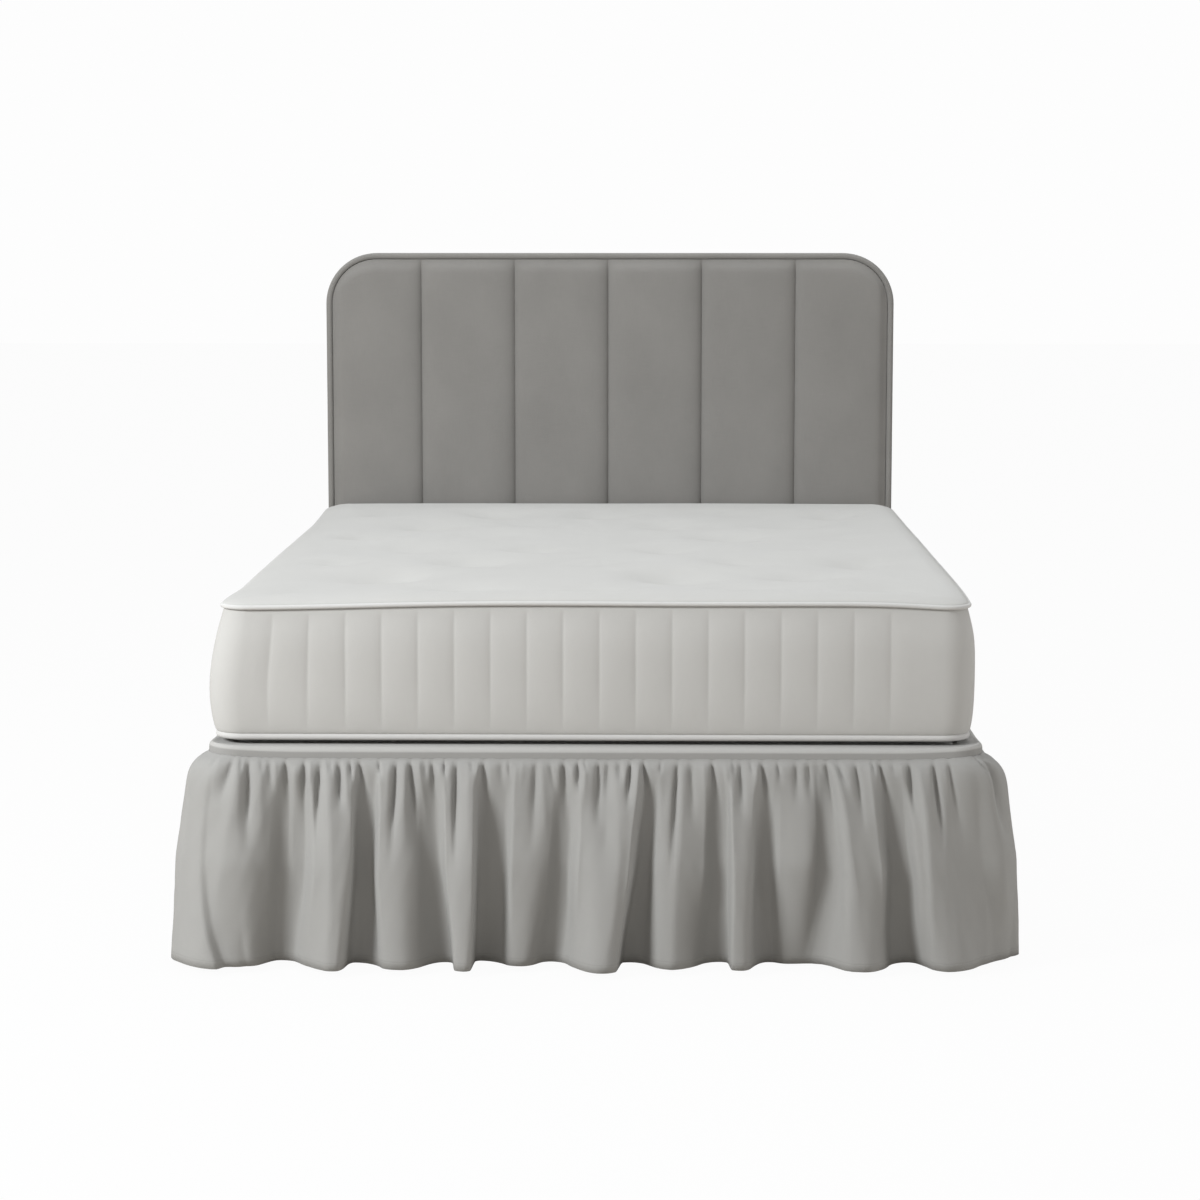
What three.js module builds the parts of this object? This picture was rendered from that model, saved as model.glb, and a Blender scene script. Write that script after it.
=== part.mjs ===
// A gathered bed skirt on a double bed: a ruffle hangs from a narrow band round three sides
// of the base, the band and the deck cloth lie on the base, and the mattress holds them down.
// Millimetres, +Z up, the foot of the bed towards -Y, the origin on the floor under the middle.
import * as THREE from "three";

// ---- driving dimensions ----
const BASE_WIDTH = 1412;
const BASE_LENGTH = 1935;
const BASE_TOP = 410;
const BASE_BOTTOM = 210;
const FOOT_CORNER_R = 60; // plan radius of the base's two foot corners
const HEAD_CORNER_R = 12;
const BASE_EDGE_R = 8;

const CLOTH = 2; // thickness of every cloth sheet
const GAP = 0.3; // between pieces that lie on each other

const BAND_DROP = 20; // the band's face below the base's top
const BAND_RETURN = 50; // the band's strip that lies on top of the base
const HEM_Z = 13;
const SKIRT_REACH = 77; // how far the fullest fold stands out from the base's face at the hem

const MATTRESS_WIDTH = 1390; // at its fullest, half way up
const MATTRESS_LENGTH = 1908;
const MATTRESS_CORNER_R = 64;
const MATTRESS_SETBACK = 17; // from the base's foot face to the mattress's foot face
const PIPING_R = 5;
const LOWER_PIPING_RISE = 12; // centre of the lower piping above the mattress's underside
const UPPER_PIPING_RISE = 258;
const PIPING_INSET = 14; // from the mattress's fullest outline to the piping's centre

const HEADBOARD_WIDTH = 1380;
const HEADBOARD_TOP = 1290;
const HEADBOARD_CORNER_R = 123;
const HEADBOARD_PANEL = 52; // thickness of the upholstered board
const HEADBOARD_PAD = 26; // thickness of the channelled pad at its crowns
const ROLL_R = 10; // padded roll round the headboard's front edge
const CHANNELS = 6;
const CHANNEL_DEPTH = 14;

const LEG_TOP_R = 30;
const LEG_FOOT_R = 22;
const LEG_INSET = 95;

const PAD_BACK = HEADBOARD_PAD + 2 * GAP;
const HEADBOARD_DEPTH = PAD_BACK + HEADBOARD_PANEL;
const FOOT_Y = (SKIRT_REACH - BASE_LENGTH - HEADBOARD_DEPTH) / 2;
const HEAD_Y = FOOT_Y + BASE_LENGTH;
const HALF_BASE = BASE_WIDTH / 2;
const DECK_TOP = BASE_TOP + GAP + CLOTH;
const SEAM_Z = BASE_TOP - BAND_DROP;

const CORNER_STEPS = 6; // facets in a plan corner of 90 degrees
const EDGE_STEPS = 3; // facets in a rounded edge of 90 degrees

// ---- closed meshes from rings of points ----
const lerp = (a, b, t) => a + (b - a) * t;
const smooth = (t) => t * t * (3 - 2 * t);

function geometryOf(points, faces) {
  const geometry = new THREE.BufferGeometry();
  geometry.setAttribute("position", new THREE.Float32BufferAttribute(points.flat(), 3));
  geometry.setIndex(faces.flat());
  geometry.computeVertexNormals();
  return geometry;
}

// Closed rings of equal length, stacked bottom to top and seen anticlockwise from above.
// A cap is a fan round the ring's own centre.
function loft(rings) {
  const n = rings[0].length;
  const points = rings.flat();
  const faces = [];
  for (let r = 0; r + 1 < rings.length; r++) {
    for (let i = 0; i < n; i++) {
      const j = (i + 1) % n;
      const [a, b, c, d] = [r * n + i, r * n + j, (r + 1) * n + j, (r + 1) * n + i];
      faces.push([a, b, c], [a, c, d]);
    }
  }
  const centreOf = (ring) => [0, 1, 2].map((k) => ring.reduce((sum, p) => sum + p[k], 0) / n);
  const low = points.push(centreOf(rings[0])) - 1;
  const high = points.push(centreOf(rings.at(-1))) - 1;
  const last = (rings.length - 1) * n;
  for (let i = 0; i < n; i++) {
    const j = (i + 1) % n;
    faces.push([low, j, i], [high, last + i, last + j]);
  }
  return geometryOf(points, faces);
}

// Sections of equal length, swept in order. Each is a closed outline that turns anticlockwise
// about the direction of travel. An open sweep is closed by flat ends, which `outline`, the
// section in its own plane, divides into triangles.
function sweep(sections, outline) {
  const n = sections[0].length;
  const count = sections.length;
  const faces = [];
  for (let s = 0; s < (outline ? count - 1 : count); s++) {
    const t = (s + 1) % count;
    for (let i = 0; i < n; i++) {
      const j = (i + 1) % n;
      const [a, b, c, d] = [s * n + i, s * n + j, t * n + j, t * n + i];
      faces.push([a, b, c], [a, c, d]);
    }
  }
  if (outline) {
    const flat = outline.map(([u, w]) => new THREE.Vector2(u, w));
    const turn = Math.sign(THREE.ShapeUtils.area(flat));
    const last = (count - 1) * n;
    for (const triangle of THREE.ShapeUtils.triangulateShape(flat, [])) {
      const same = Math.sign(THREE.ShapeUtils.area(triangle.map((k) => flat[k]))) === turn;
      const [a, b, c] = same ? triangle : triangle.toReversed();
      faces.push([a, c, b], [last + a, last + b, last + c]);
    }
  }
  return geometryOf(sections.flat(), faces);
}

// A front and a back of equal rows, top row first and each row left to right as seen from
// the front, closed round their edges. Both are divided along the same diagonals, so that
// they stay as far apart where the sheet twists.
function twoSkins(fronts, backs) {
  const count = fronts[0].length;
  const back = fronts.length * count;
  const faces = [];
  const quad = (a, b, c, d) => faces.push([a, b, c], [a, c, d]);
  for (let r = 0; r + 1 < fronts.length; r++) {
    for (let i = 0; i + 1 < count; i++) {
      const a = r * count + i;
      quad(a, a + count, a + count + 1, a + 1);
      quad(back + a, back + a + 1, back + a + count + 1, back + a + count);
    }
    const [left, right] = [r * count, r * count + count - 1];
    quad(back + left, back + left + count, left + count, left);
    quad(right, right + count, back + right + count, back + right);
  }
  const low = back - count;
  for (let i = 0; i + 1 < count; i++) {
    quad(back + i, i, i + 1, back + i + 1);
    quad(low + i, back + low + i, back + low + i + 1, low + i + 1);
  }
  return geometryOf([...fronts.flat(), ...backs.flat()], faces);
}

// A rounded rectangle seen from above, from the foot's left corner round to the left side.
function plan({ half, foot, head, footR, headR, inset = 0, z }) {
  const corners = [
    { x: -half + footR, y: foot + footR, r: footR, from: 180 },
    { x: half - footR, y: foot + footR, r: footR, from: 270 },
    { x: half - headR, y: head - headR, r: headR, from: 0 },
    { x: -half + headR, y: head - headR, r: headR, from: 90 },
  ];
  const ring = [];
  for (const { x, y, r, from } of corners) {
    for (let k = 0; k <= CORNER_STEPS; k++) {
      const angle = THREE.MathUtils.degToRad(from + (90 * k) / CORNER_STEPS);
      ring.push([x + (r - inset) * Math.cos(angle), y + (r - inset) * Math.sin(angle), z]);
    }
  }
  return ring;
}

// ---- the path that the skirt follows round the base ----
// `at` is the distance along the base's face from the middle of the foot, left negative.
const FRONT_HALF = HALF_BASE - FOOT_CORNER_R;
const CORNER_ARC = (Math.PI / 2) * FOOT_CORNER_R;
const SIDE_START = FRONT_HALF + CORNER_ARC;
const PATH_HALF = SIDE_START + BASE_LENGTH - FOOT_CORNER_R - HEAD_CORNER_R;

function pathPoint(at, out) {
  const side = Math.sign(at) || 1;
  const along = Math.abs(at);
  if (along <= FRONT_HALF) return [at, FOOT_Y - out];
  if (along >= SIDE_START) {
    return [side * (HALF_BASE + out), FOOT_Y + FOOT_CORNER_R + along - SIDE_START];
  }
  const angle = (along - FRONT_HALF) / FOOT_CORNER_R;
  const reach = FOOT_CORNER_R + out;
  return [
    side * (FRONT_HALF + reach * Math.sin(angle)),
    FOOT_Y + FOOT_CORNER_R - reach * Math.cos(angle),
  ];
}

// ---- the ruffle's folds ----
// Each row is a crest or a valley line. seam, mid and hem are its places along the path at
// the gathered seam, half way down and at the hem; midOut and hemOut are how far the cloth
// stands out there; flank steepens the slope on its left: 0 is a soft wave, and over 0.16
// the fold overhangs.
const FOOT_FOLDS = [
  { seam: -640, mid: -652, hem: -661, midOut: 50, hemOut: 60, flank: 0.0 },
  { seam: -562, mid: -562, hem: -578, midOut: 5, hemOut: -12, flank: 0.02 },
  { seam: -490, mid: -470, hem: -472, midOut: 54, hemOut: 67, flank: 0.05 },
  { seam: -424, mid: -424, hem: -441, midOut: 5, hemOut: 4, flank: 0.13 },
  { seam: -364, mid: -360, hem: -352, midOut: 46, hemOut: 58, flank: 0.06 },
  { seam: -296, mid: -288, hem: -277, midOut: 6, hemOut: -2, flank: 0.02 },
  { seam: -250, mid: -244, hem: -241, midOut: 52, hemOut: 66, flank: 0.12 },
  { seam: -204, mid: -202, hem: -214, midOut: 5, hemOut: -14, flank: 0.14 },
  { seam: -122, mid: -130, hem: -137, midOut: 32, hemOut: 26, flank: 0.03 },
  { seam: -58, mid: -64, hem: -84, midOut: 5, hemOut: -10, flank: 0.05 },
  { seam: 22, mid: 14, hem: 9, midOut: 58, hemOut: 77, flank: 0.05 },
  { seam: 92, mid: 82, hem: 64, midOut: 5, hemOut: -6, flank: 0.15 },
  { seam: 150, mid: 138, hem: 140, midOut: 38, hemOut: 47, flank: 0.05 },
  { seam: 214, mid: 216, hem: 226, midOut: 5, hemOut: -12, flank: 0.04 },
  { seam: 260, mid: 258, hem: 262, midOut: 46, hemOut: 52, flank: 0.14 },
  { seam: 306, mid: 304, hem: 322, midOut: 6, hemOut: -12, flank: 0.05 },
  { seam: 362, mid: 352, hem: 350, midOut: 40, hemOut: -8, flank: 0.06 },
  { seam: 400, mid: 405, hem: 392, midOut: 14, hemOut: 4, flank: 0.04 },
  { seam: 423, mid: 455, hem: 480, midOut: 50, hemOut: 62, flank: 0.03 },
  { seam: 520, mid: 530, hem: 560, midOut: 5, hemOut: -14, flank: 0.08 },
  { seam: 590, mid: 602, hem: 630, midOut: 46, hemOut: 56, flank: 0.05 },
  { seam: 654, mid: 664, hem: 687, midOut: 18, hemOut: 27, flank: 0.0 },
];

// The sides hang in folds of the same kind. Where they lie and how full they are comes from
// slow waves, so that no two neighbours are alike and the two sides differ.
const SIDE_FOLDS = 13;
const SIDE_PHASE = { left: 0.4, right: 2.3 };
const SIDE_WAVE = { drift: 2.4, fullness: 1.7, lean: 3.1, valley: 1.9 }; // radians a fold
const SIDE_DRIFT = { crest: 0.17, valley: 0.1 }; // in pitches
const SIDE_CREST = { lean: 14, slack: 56, full: SKIRT_REACH + 2, midShare: 0.85, flank: 0.09 };
const SIDE_VALLEY = { place: 0.52, lean: 0.4, slack: -15, full: 2, midOut: 5, flank: 0.12 };
const FIRST_SIDE_CREST = SIDE_START + 4;
const SIDE_PITCH = (PATH_HALF - 10 - FIRST_SIDE_CREST) / (SIDE_FOLDS - 0.5);

function sideFolds(phase) {
  const folds = [];
  for (let k = 0; k < SIDE_FOLDS; k++) {
    const drift = SIDE_DRIFT.crest * Math.sin(SIDE_WAVE.drift * k + phase);
    const valleyDrift = SIDE_DRIFT.valley * Math.sin(SIDE_WAVE.valley * k - phase);
    const fullness = (1 + Math.sin(SIDE_WAVE.fullness * k + 2 * phase)) / 2;
    const lean = SIDE_CREST.lean * Math.sin(SIDE_WAVE.lean * k + phase);
    const crest = FIRST_SIDE_CREST + (k + drift) * SIDE_PITCH;
    const valley = FIRST_SIDE_CREST + (k + SIDE_VALLEY.place + valleyDrift) * SIDE_PITCH;
    const crestOut = lerp(SIDE_CREST.slack, SIDE_CREST.full, k === 0 ? 1 : fullness);
    folds.push({ seam: crest - lean / 2, mid: crest, hem: crest + lean,
      midOut: SIDE_CREST.midShare * crestOut, hemOut: crestOut, flank: SIDE_CREST.flank * fullness });
    folds.push({ seam: valley, mid: valley, hem: valley + SIDE_VALLEY.lean * lean,
      midOut: SIDE_VALLEY.midOut, hemOut: lerp(SIDE_VALLEY.slack, SIDE_VALLEY.full, fullness),
      flank: SIDE_VALLEY.flank * (1 - fullness) });
  }
  const end = folds.pop();
  folds.push({ ...end, seam: PATH_HALF, mid: PATH_HALF, hem: PATH_HALF });
  return folds;
}

// The left side runs towards the foot, so its rows are reversed and each flank moves to the
// other line of its pair.
function mirrored(folds) {
  return folds.map((fold, i) => ({
    ...fold,
    seam: -fold.seam,
    mid: -fold.mid,
    hem: -fold.hem,
    flank: i + 1 < folds.length ? folds[i + 1].flank : 0,
  })).reverse();
}

const FOLDS = [
  ...mirrored(sideFolds(SIDE_PHASE.left)),
  ...FOOT_FOLDS,
  ...sideFolds(SIDE_PHASE.right),
];

// Where a fold line lies and how far it stands out, `down` running from 0 at the seam to 1
// at the hem. A crest swells out soon below the seam; a valley stays by the base's face.
const SEAM_OUT = 4.4;
const VALLEY_OUT = 8; // a line that stands out less than this half way down is a valley
const SWELL = 0.34; // under 1: the lower, the rounder the shoulder under the seam

function foldLine(fold, down) {
  const bend = 2 * (fold.seam + fold.hem - 2 * fold.mid);
  const at = fold.seam + (fold.hem - fold.seam) * down - bend * down * (1 - down);
  const upper = Math.min(1, 2 * down);
  const lower = Math.max(0, 2 * down - 1);
  const swell = fold.midOut > VALLEY_OUT ? upper ** SWELL : upper;
  const swollen = lerp(SEAM_OUT, fold.midOut, swell);
  return { at, out: lerp(swollen, fold.hemOut, lower) };
}

const FLANK_STEPS = 4; // columns from one fold line to the next, or more on a wide flank
const WIDEST_COLUMN = 16;
const RUFFLE_ROWS = [0, 0.05, 0.14, 0.3, 0.5, 0.75, 1];
const FLANK_GROWTH = 3; // a flank is full a third of the way down

function ruffleRow(down) {
  const lines = FOLDS.map((fold) => foldLine(fold, down));
  const row = [];
  for (let i = 0; i + 1 < lines.length; i++) {
    const flank = FOLDS[i + 1].flank * Math.min(1, FLANK_GROWTH * down);
    const width = FOLDS[i + 1].seam - FOLDS[i].seam;
    const steps = Math.max(FLANK_STEPS, Math.ceil(width / WIDEST_COLUMN));
    for (let k = 0; k < steps; k++) {
      const t = k / steps;
      const sideways = t + flank * Math.sin(2 * Math.PI * t);
      row.push({
        at: lerp(lines[i].at, lines[i + 1].at, sideways),
        out: lerp(lines[i].out, lines[i + 1].out, (1 - Math.cos(Math.PI * t)) / 2),
      });
    }
  }
  row.push(lines.at(-1));
  return row.map(({ at, out }) => pathPoint(at, out));
}

// How much further than its own thickness a cloth's back lies behind its front, at a point
// of row r: more where the row bends, and more where the rows above or below lean.
const MOST_BEND = 1.35;
const MOST_LEAN = 1.3;

function towardsBack(rows, heights, r, i) {
  const row = rows[r];
  const unit = ([ax, ay], [bx, by]) => new THREE.Vector2(bx - ax, by - ay).normalize();
  const before = unit(row[Math.max(0, i - 1)], row[Math.max(1, i)]);
  const after = unit(row[Math.min(row.length - 2, i)], row[Math.min(row.length - 1, i + 1)]);
  const along = before.clone().add(after).normalize();
  const back = new THREE.Vector2(-along.y, along.x);
  const leans = [r - 1, r + 1].filter((q) => rows[q]).map((q) => {
    const shift = new THREE.Vector2(rows[q][i][0] - row[i][0], rows[q][i][1] - row[i][1]);
    return Math.abs(shift.dot(back) / (heights[q] - heights[r]));
  });
  const bend = Math.min(MOST_BEND, 1 / along.dot(before));
  const lean = Math.min(MOST_LEAN, Math.max(...leans));
  return back.multiplyScalar(CLOTH * Math.max(bend, Math.hypot(1, lean)));
}

// A sheet hung in rows, its back one cloth thickness behind its front.
function hungSheet(rows, heights) {
  const fronts = rows.map((row, r) => row.map(([x, y]) => [x, y, heights[r]]));
  const backs = rows.map((row, r) => row.map(([x, y], i) => {
    const shift = towardsBack(rows, heights, r, i);
    return [x + shift.x, y + shift.y, heights[r]];
  }));
  return twoSkins(fronts, backs);
}

function ruffle() {
  const top = SEAM_Z - GAP;
  const heights = RUFFLE_ROWS.map((down) => lerp(top, HEM_Z, down));
  return hungSheet(RUFFLE_ROWS.map(ruffleRow), heights);
}

// ---- band and deck ----
// The band's section: a strip on top of the base, round its edge and down to the seam.
// Each point is [out, up]: out from the base's face and up from the base's top.
function bandOutline() {
  const face = (lift) => {
    const side = [[-BAND_RETURN, lift]];
    for (let k = 0; k <= EDGE_STEPS; k++) {
      const angle = (Math.PI / 2) * (k / EDGE_STEPS);
      const r = BASE_EDGE_R + lift;
      side.push([-BASE_EDGE_R + r * Math.sin(angle), -BASE_EDGE_R + r * Math.cos(angle)]);
    }
    side.push([lift, -BAND_DROP]);
    return side;
  };
  return [...face(GAP + CLOTH), ...face(GAP).reverse()];
}

function band() {
  const corner = Array.from({ length: CORNER_STEPS + 1 }, (_, k) => (CORNER_ARC * k) / CORNER_STEPS);
  const stations = [
    -PATH_HALF,
    ...corner.map((arc) => arc - SIDE_START),
    ...corner.map((arc) => arc + FRONT_HALF),
    PATH_HALF,
  ];
  const outline = bandOutline();
  const sections = stations.map((at) =>
    outline.map(([out, up]) => [...pathPoint(at, out), BASE_TOP + up]));
  return sweep(sections, outline);
}

function deck() {
  const edge = { half: HALF_BASE - BAND_RETURN - GAP, foot: FOOT_Y + BAND_RETURN + GAP,
    head: HEAD_Y - HEAD_CORNER_R, footR: FOOT_CORNER_R - BAND_RETURN - GAP, headR: HEAD_CORNER_R };
  return loft([plan({ ...edge, z: BASE_TOP + GAP }), plan({ ...edge, z: DECK_TOP })]);
}

// ---- base and legs ----
function base() {
  const edge = { half: HALF_BASE, foot: FOOT_Y, head: HEAD_Y,
    footR: FOOT_CORNER_R, headR: HEAD_CORNER_R };
  const rings = [];
  for (let k = 0; k <= EDGE_STEPS; k++) {
    const angle = (Math.PI / 2) * (k / EDGE_STEPS);
    rings.push(plan({ ...edge, inset: BASE_EDGE_R * (1 - Math.sin(angle)),
      z: BASE_BOTTOM + BASE_EDGE_R * (1 - Math.cos(angle)) }));
  }
  for (let k = EDGE_STEPS; k >= 0; k--) {
    const angle = (Math.PI / 2) * (k / EDGE_STEPS);
    rings.push(plan({ ...edge, inset: BASE_EDGE_R * (1 - Math.sin(angle)),
      z: BASE_TOP - BASE_EDGE_R * (1 - Math.cos(angle)) }));
  }
  return loft(rings);
}

function leg() {
  const LEG_SIDES = 16;
  const height = BASE_BOTTOM - GAP;
  const geometry = new THREE.CylinderGeometry(LEG_TOP_R, LEG_FOOT_R, height, LEG_SIDES);
  return geometry.rotateX(Math.PI / 2).translate(0, 0, height / 2);
}

// ---- mattress ----
const MATTRESS_FOOT = FOOT_Y + MATTRESS_SETBACK;
const MATTRESS_EDGE = { half: MATTRESS_WIDTH / 2, foot: MATTRESS_FOOT,
  head: MATTRESS_FOOT + MATTRESS_LENGTH, footR: MATTRESS_CORNER_R, headR: MATTRESS_CORNER_R };
const GROOVE = PIPING_R + 3; // half height and depth of the groove that a piping sits in

const CROWN_EDGE = 52; // from the fullest outline to the brow where the top's crown begins
const CROWN_INSET = 240;
const CROWN_RISE = 280;

// Rows from the underside up: inset is from the fullest outline, rise from the underside.
const MATTRESS_PROFILE = [
  { inset: 44, rise: 0 },
  { inset: 24, rise: 1 },
  { inset: PIPING_INSET, rise: LOWER_PIPING_RISE - GROOVE },
  { inset: PIPING_INSET + GROOVE, rise: LOWER_PIPING_RISE },
  { inset: PIPING_INSET, rise: LOWER_PIPING_RISE + GROOVE },
  { inset: 4, rise: 48 },
  { inset: 0, rise: 110 },
  { inset: 0, rise: 175 },
  { inset: 4, rise: 225 },
  { inset: PIPING_INSET, rise: UPPER_PIPING_RISE - GROOVE },
  { inset: PIPING_INSET + GROOVE, rise: UPPER_PIPING_RISE },
  { inset: PIPING_INSET, rise: UPPER_PIPING_RISE + GROOVE },
  { inset: 26, rise: 270 },
  { inset: CROWN_EDGE, rise: 275 },
];
const MATTRESS_Z = DECK_TOP + GAP;

function mattress() {
  const rings = MATTRESS_PROFILE.map(({ inset, rise }) =>
    plan({ ...MATTRESS_EDGE, inset, z: MATTRESS_Z + rise }));
  const { half, foot, head } = MATTRESS_EDGE;
  const shrink = CROWN_INSET - CROWN_EDGE;
  rings.push(plan({ ...MATTRESS_EDGE, half: half - shrink, foot: foot + shrink,
    head: head - shrink, inset: CROWN_EDGE, z: MATTRESS_Z + CROWN_RISE }));
  return loft(rings);
}

function mattressPiping(rise) {
  const SIDES = 8;
  const path = plan({ ...MATTRESS_EDGE, inset: PIPING_INSET, z: MATTRESS_Z + rise });
  const wide = plan({ ...MATTRESS_EDGE, inset: PIPING_INSET - 1, z: MATTRESS_Z + rise });
  const sections = path.map(([x, y, z], i) => {
    const [nx, ny] = [wide[i][0] - x, wide[i][1] - y];
    return Array.from({ length: SIDES }, (_, k) => {
      const angle = (2 * Math.PI * k) / SIDES;
      const out = PIPING_R * Math.cos(angle);
      return [x + nx * out, y + ny * out, z - PIPING_R * Math.sin(angle)];
    });
  });
  return sweep(sections);
}

// ---- headboard ----
const PANEL_FRONT = HEAD_Y + PAD_BACK;
const PAD_BOTTOM = BASE_BOTTOM;

// Half an arch's height at x: a flat top with round shoulders.
function archTop(x, half, top, radius) {
  const over = Math.max(0, Math.abs(x) - (half - radius));
  return top - radius + Math.sqrt(Math.max(0, radius ** 2 - over ** 2));
}

function headboardPanel() {
  const half = HEADBOARD_WIDTH / 2;
  const BEVEL = 6;
  const [w, h, r] = [half - BEVEL, HEADBOARD_TOP - BEVEL, HEADBOARD_CORNER_R - BEVEL];
  const shape = new THREE.Shape();
  shape.moveTo(-w, BEVEL).lineTo(w, BEVEL).lineTo(w, h - r);
  shape.absarc(w - r, h - r, r, 0, Math.PI / 2).lineTo(-w + r, h);
  shape.absarc(-w + r, h - r, r, Math.PI / 2, Math.PI);
  const geometry = new THREE.ExtrudeGeometry(shape, { depth: HEADBOARD_PANEL - 2 * BEVEL,
    bevelSize: BEVEL, bevelThickness: BEVEL, bevelSegments: 2, curveSegments: 10 });
  return geometry.rotateX(Math.PI / 2).translate(0, PANEL_FRONT + HEADBOARD_PANEL - BEVEL, 0);
}

// The pad's front is crowned in each channel and drawn in at the seams and the rim.
const CROWN_POWER = 3.2; // the higher, the flatter the channel between its seams
const RIM = 30; // how far below its top the pad reaches its full crown
const RIM_CROWN = 0.35; // the share of the crown that is left at the top
const CHANNEL_STEPS = 8;
const SHOULDER_CROWDING = 1.7;
const PAD_ROWS = [0, 6, 16, RIM, 120, 400, HEADBOARD_TOP]; // below the top, the last at the foot

function padFront(x, z, half, top) {
  const across = (((x + half) * CHANNELS) / (2 * half)) % 1;
  const crown = 1 - Math.abs(2 * across - 1) ** CROWN_POWER;
  const rim = smooth(Math.min(1, (top - z) / RIM));
  return HEADBOARD_PAD - CHANNEL_DEPTH * (1 - crown * lerp(RIM_CROWN, 1, rim));
}

function headboardPad() {
  const half = HEADBOARD_WIDTH / 2 - 2 * ROLL_R - GAP;
  const top = HEADBOARD_TOP - 2 * ROLL_R - GAP;
  const radius = HEADBOARD_CORNER_R - 2 * ROLL_R;
  const back = PANEL_FRONT - GAP;
  const channel = (2 * half) / CHANNELS;
  // The columns lie closer together at the two ends, where the board's shoulders turn.
  const columns = Array.from({ length: CHANNELS * CHANNEL_STEPS + 1 }, (_, i) => {
    const x = lerp(-half, half, i / (CHANNELS * CHANNEL_STEPS));
    const inner = (half - Math.abs(x)) / channel;
    return inner < 1 ? Math.sign(x) * (half - channel * inner ** SHOULDER_CROWDING) : x;
  });
  const skin = (depthAt) => PAD_ROWS.map((down) => columns.map((x) => {
    const arch = archTop(x, half, top, radius);
    const z = Math.max(PAD_BOTTOM, arch - down);
    return [x, back - depthAt(x, z, half, arch), z];
  }));
  return twoSkins(skin(padFront), skin(() => 0));
}

function headboardRoll() {
  const SIDES = 8;
  const ARC_STEPS = 10;
  const FOOT = 4;
  const half = HEADBOARD_WIDTH / 2 - ROLL_R;
  const top = HEADBOARD_TOP - ROLL_R;
  const radius = HEADBOARD_CORNER_R - ROLL_R;
  const path = [{ x: half, z: FOOT, angle: 0 }];
  for (let k = 0; k <= ARC_STEPS; k++) {
    const angle = (Math.PI / 2) * (k / ARC_STEPS);
    path.push({ x: half - radius + radius * Math.cos(angle),
      z: top - radius + radius * Math.sin(angle), angle });
  }
  for (let k = 0; k <= ARC_STEPS; k++) {
    const angle = (Math.PI / 2) * (1 + k / ARC_STEPS);
    path.push({ x: -half + radius + radius * Math.cos(angle),
      z: top - radius + radius * Math.sin(angle), angle });
  }
  path.push({ x: -half, z: FOOT, angle: Math.PI });
  const y = PANEL_FRONT - GAP - ROLL_R;
  const outline = Array.from({ length: SIDES }, (_, k) => {
    const turn = (2 * Math.PI * (k + 0.5)) / SIDES;
    return [ROLL_R * Math.cos(turn), ROLL_R * Math.sin(turn)];
  });
  const sections = path.map(({ x, z, angle }) => outline.map(([out, back]) =>
    [x + out * Math.cos(angle), y + back, z + out * Math.sin(angle)]));
  return sweep(sections, outline);
}

// ---- materials ----
const cloth = (color, roughness = 0.95) =>
  new THREE.MeshStandardMaterial({ color, roughness, metalness: 0 });
const SKIRT_CLOTH = cloth("#a6a6a3");
const DECK_CLOTH = cloth("#c9c8c4");
const MATTRESS_CLOTH = cloth("#dcdbd7");
const PIPING_CLOTH = cloth("#e2e1de");
const HEADBOARD_CLOTH = cloth("#84817b");
const BASE_CLOTH = cloth("#6f6d69");
const LEG_WOOD = cloth("#3b2f26", 0.6);

const bed = new THREE.Group();
function add(name, geometry, material, x = 0, y = 0, z = 0) {
  const mesh = new THREE.Mesh(geometry, material);
  mesh.name = name;
  mesh.position.set(x, y, z);
  bed.add(mesh);
}

add("skirt_ruffle", ruffle(), SKIRT_CLOTH);
add("skirt_band", band(), SKIRT_CLOTH);
add("skirt_deck", deck(), DECK_CLOTH);
add("base", base(), BASE_CLOTH);
add("mattress", mattress(), MATTRESS_CLOTH);
add("mattress_piping_lower", mattressPiping(LOWER_PIPING_RISE), PIPING_CLOTH);
add("mattress_piping_upper", mattressPiping(UPPER_PIPING_RISE), PIPING_CLOTH);
add("headboard_panel", headboardPanel(), HEADBOARD_CLOTH);
add("headboard_pad", headboardPad(), HEADBOARD_CLOTH);
add("headboard_roll", headboardRoll(), HEADBOARD_CLOTH);

const LEG_ROWS = { foot: FOOT_Y + LEG_INSET, middle: (FOOT_Y + HEAD_Y) / 2, head: HEAD_Y - LEG_INSET };
for (const [row, y] of Object.entries(LEG_ROWS)) {
  add(`leg_${row}_left`, leg(), LEG_WOOD, -HALF_BASE + LEG_INSET, y);
  add(`leg_${row}_right`, leg(), LEG_WOOD, HALF_BASE - LEG_INSET, y);
}

export default bed;
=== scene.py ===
"""A gathered bed skirt on a double bed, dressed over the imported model.

Everything is in metres in the model's own frame: +Z up, the foot of the bed towards -Y,
the origin on the floor under the middle. The sizes repeat those of part.mjs.
"""

import math
from functools import partialmethod
from types import SimpleNamespace as Group

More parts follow.
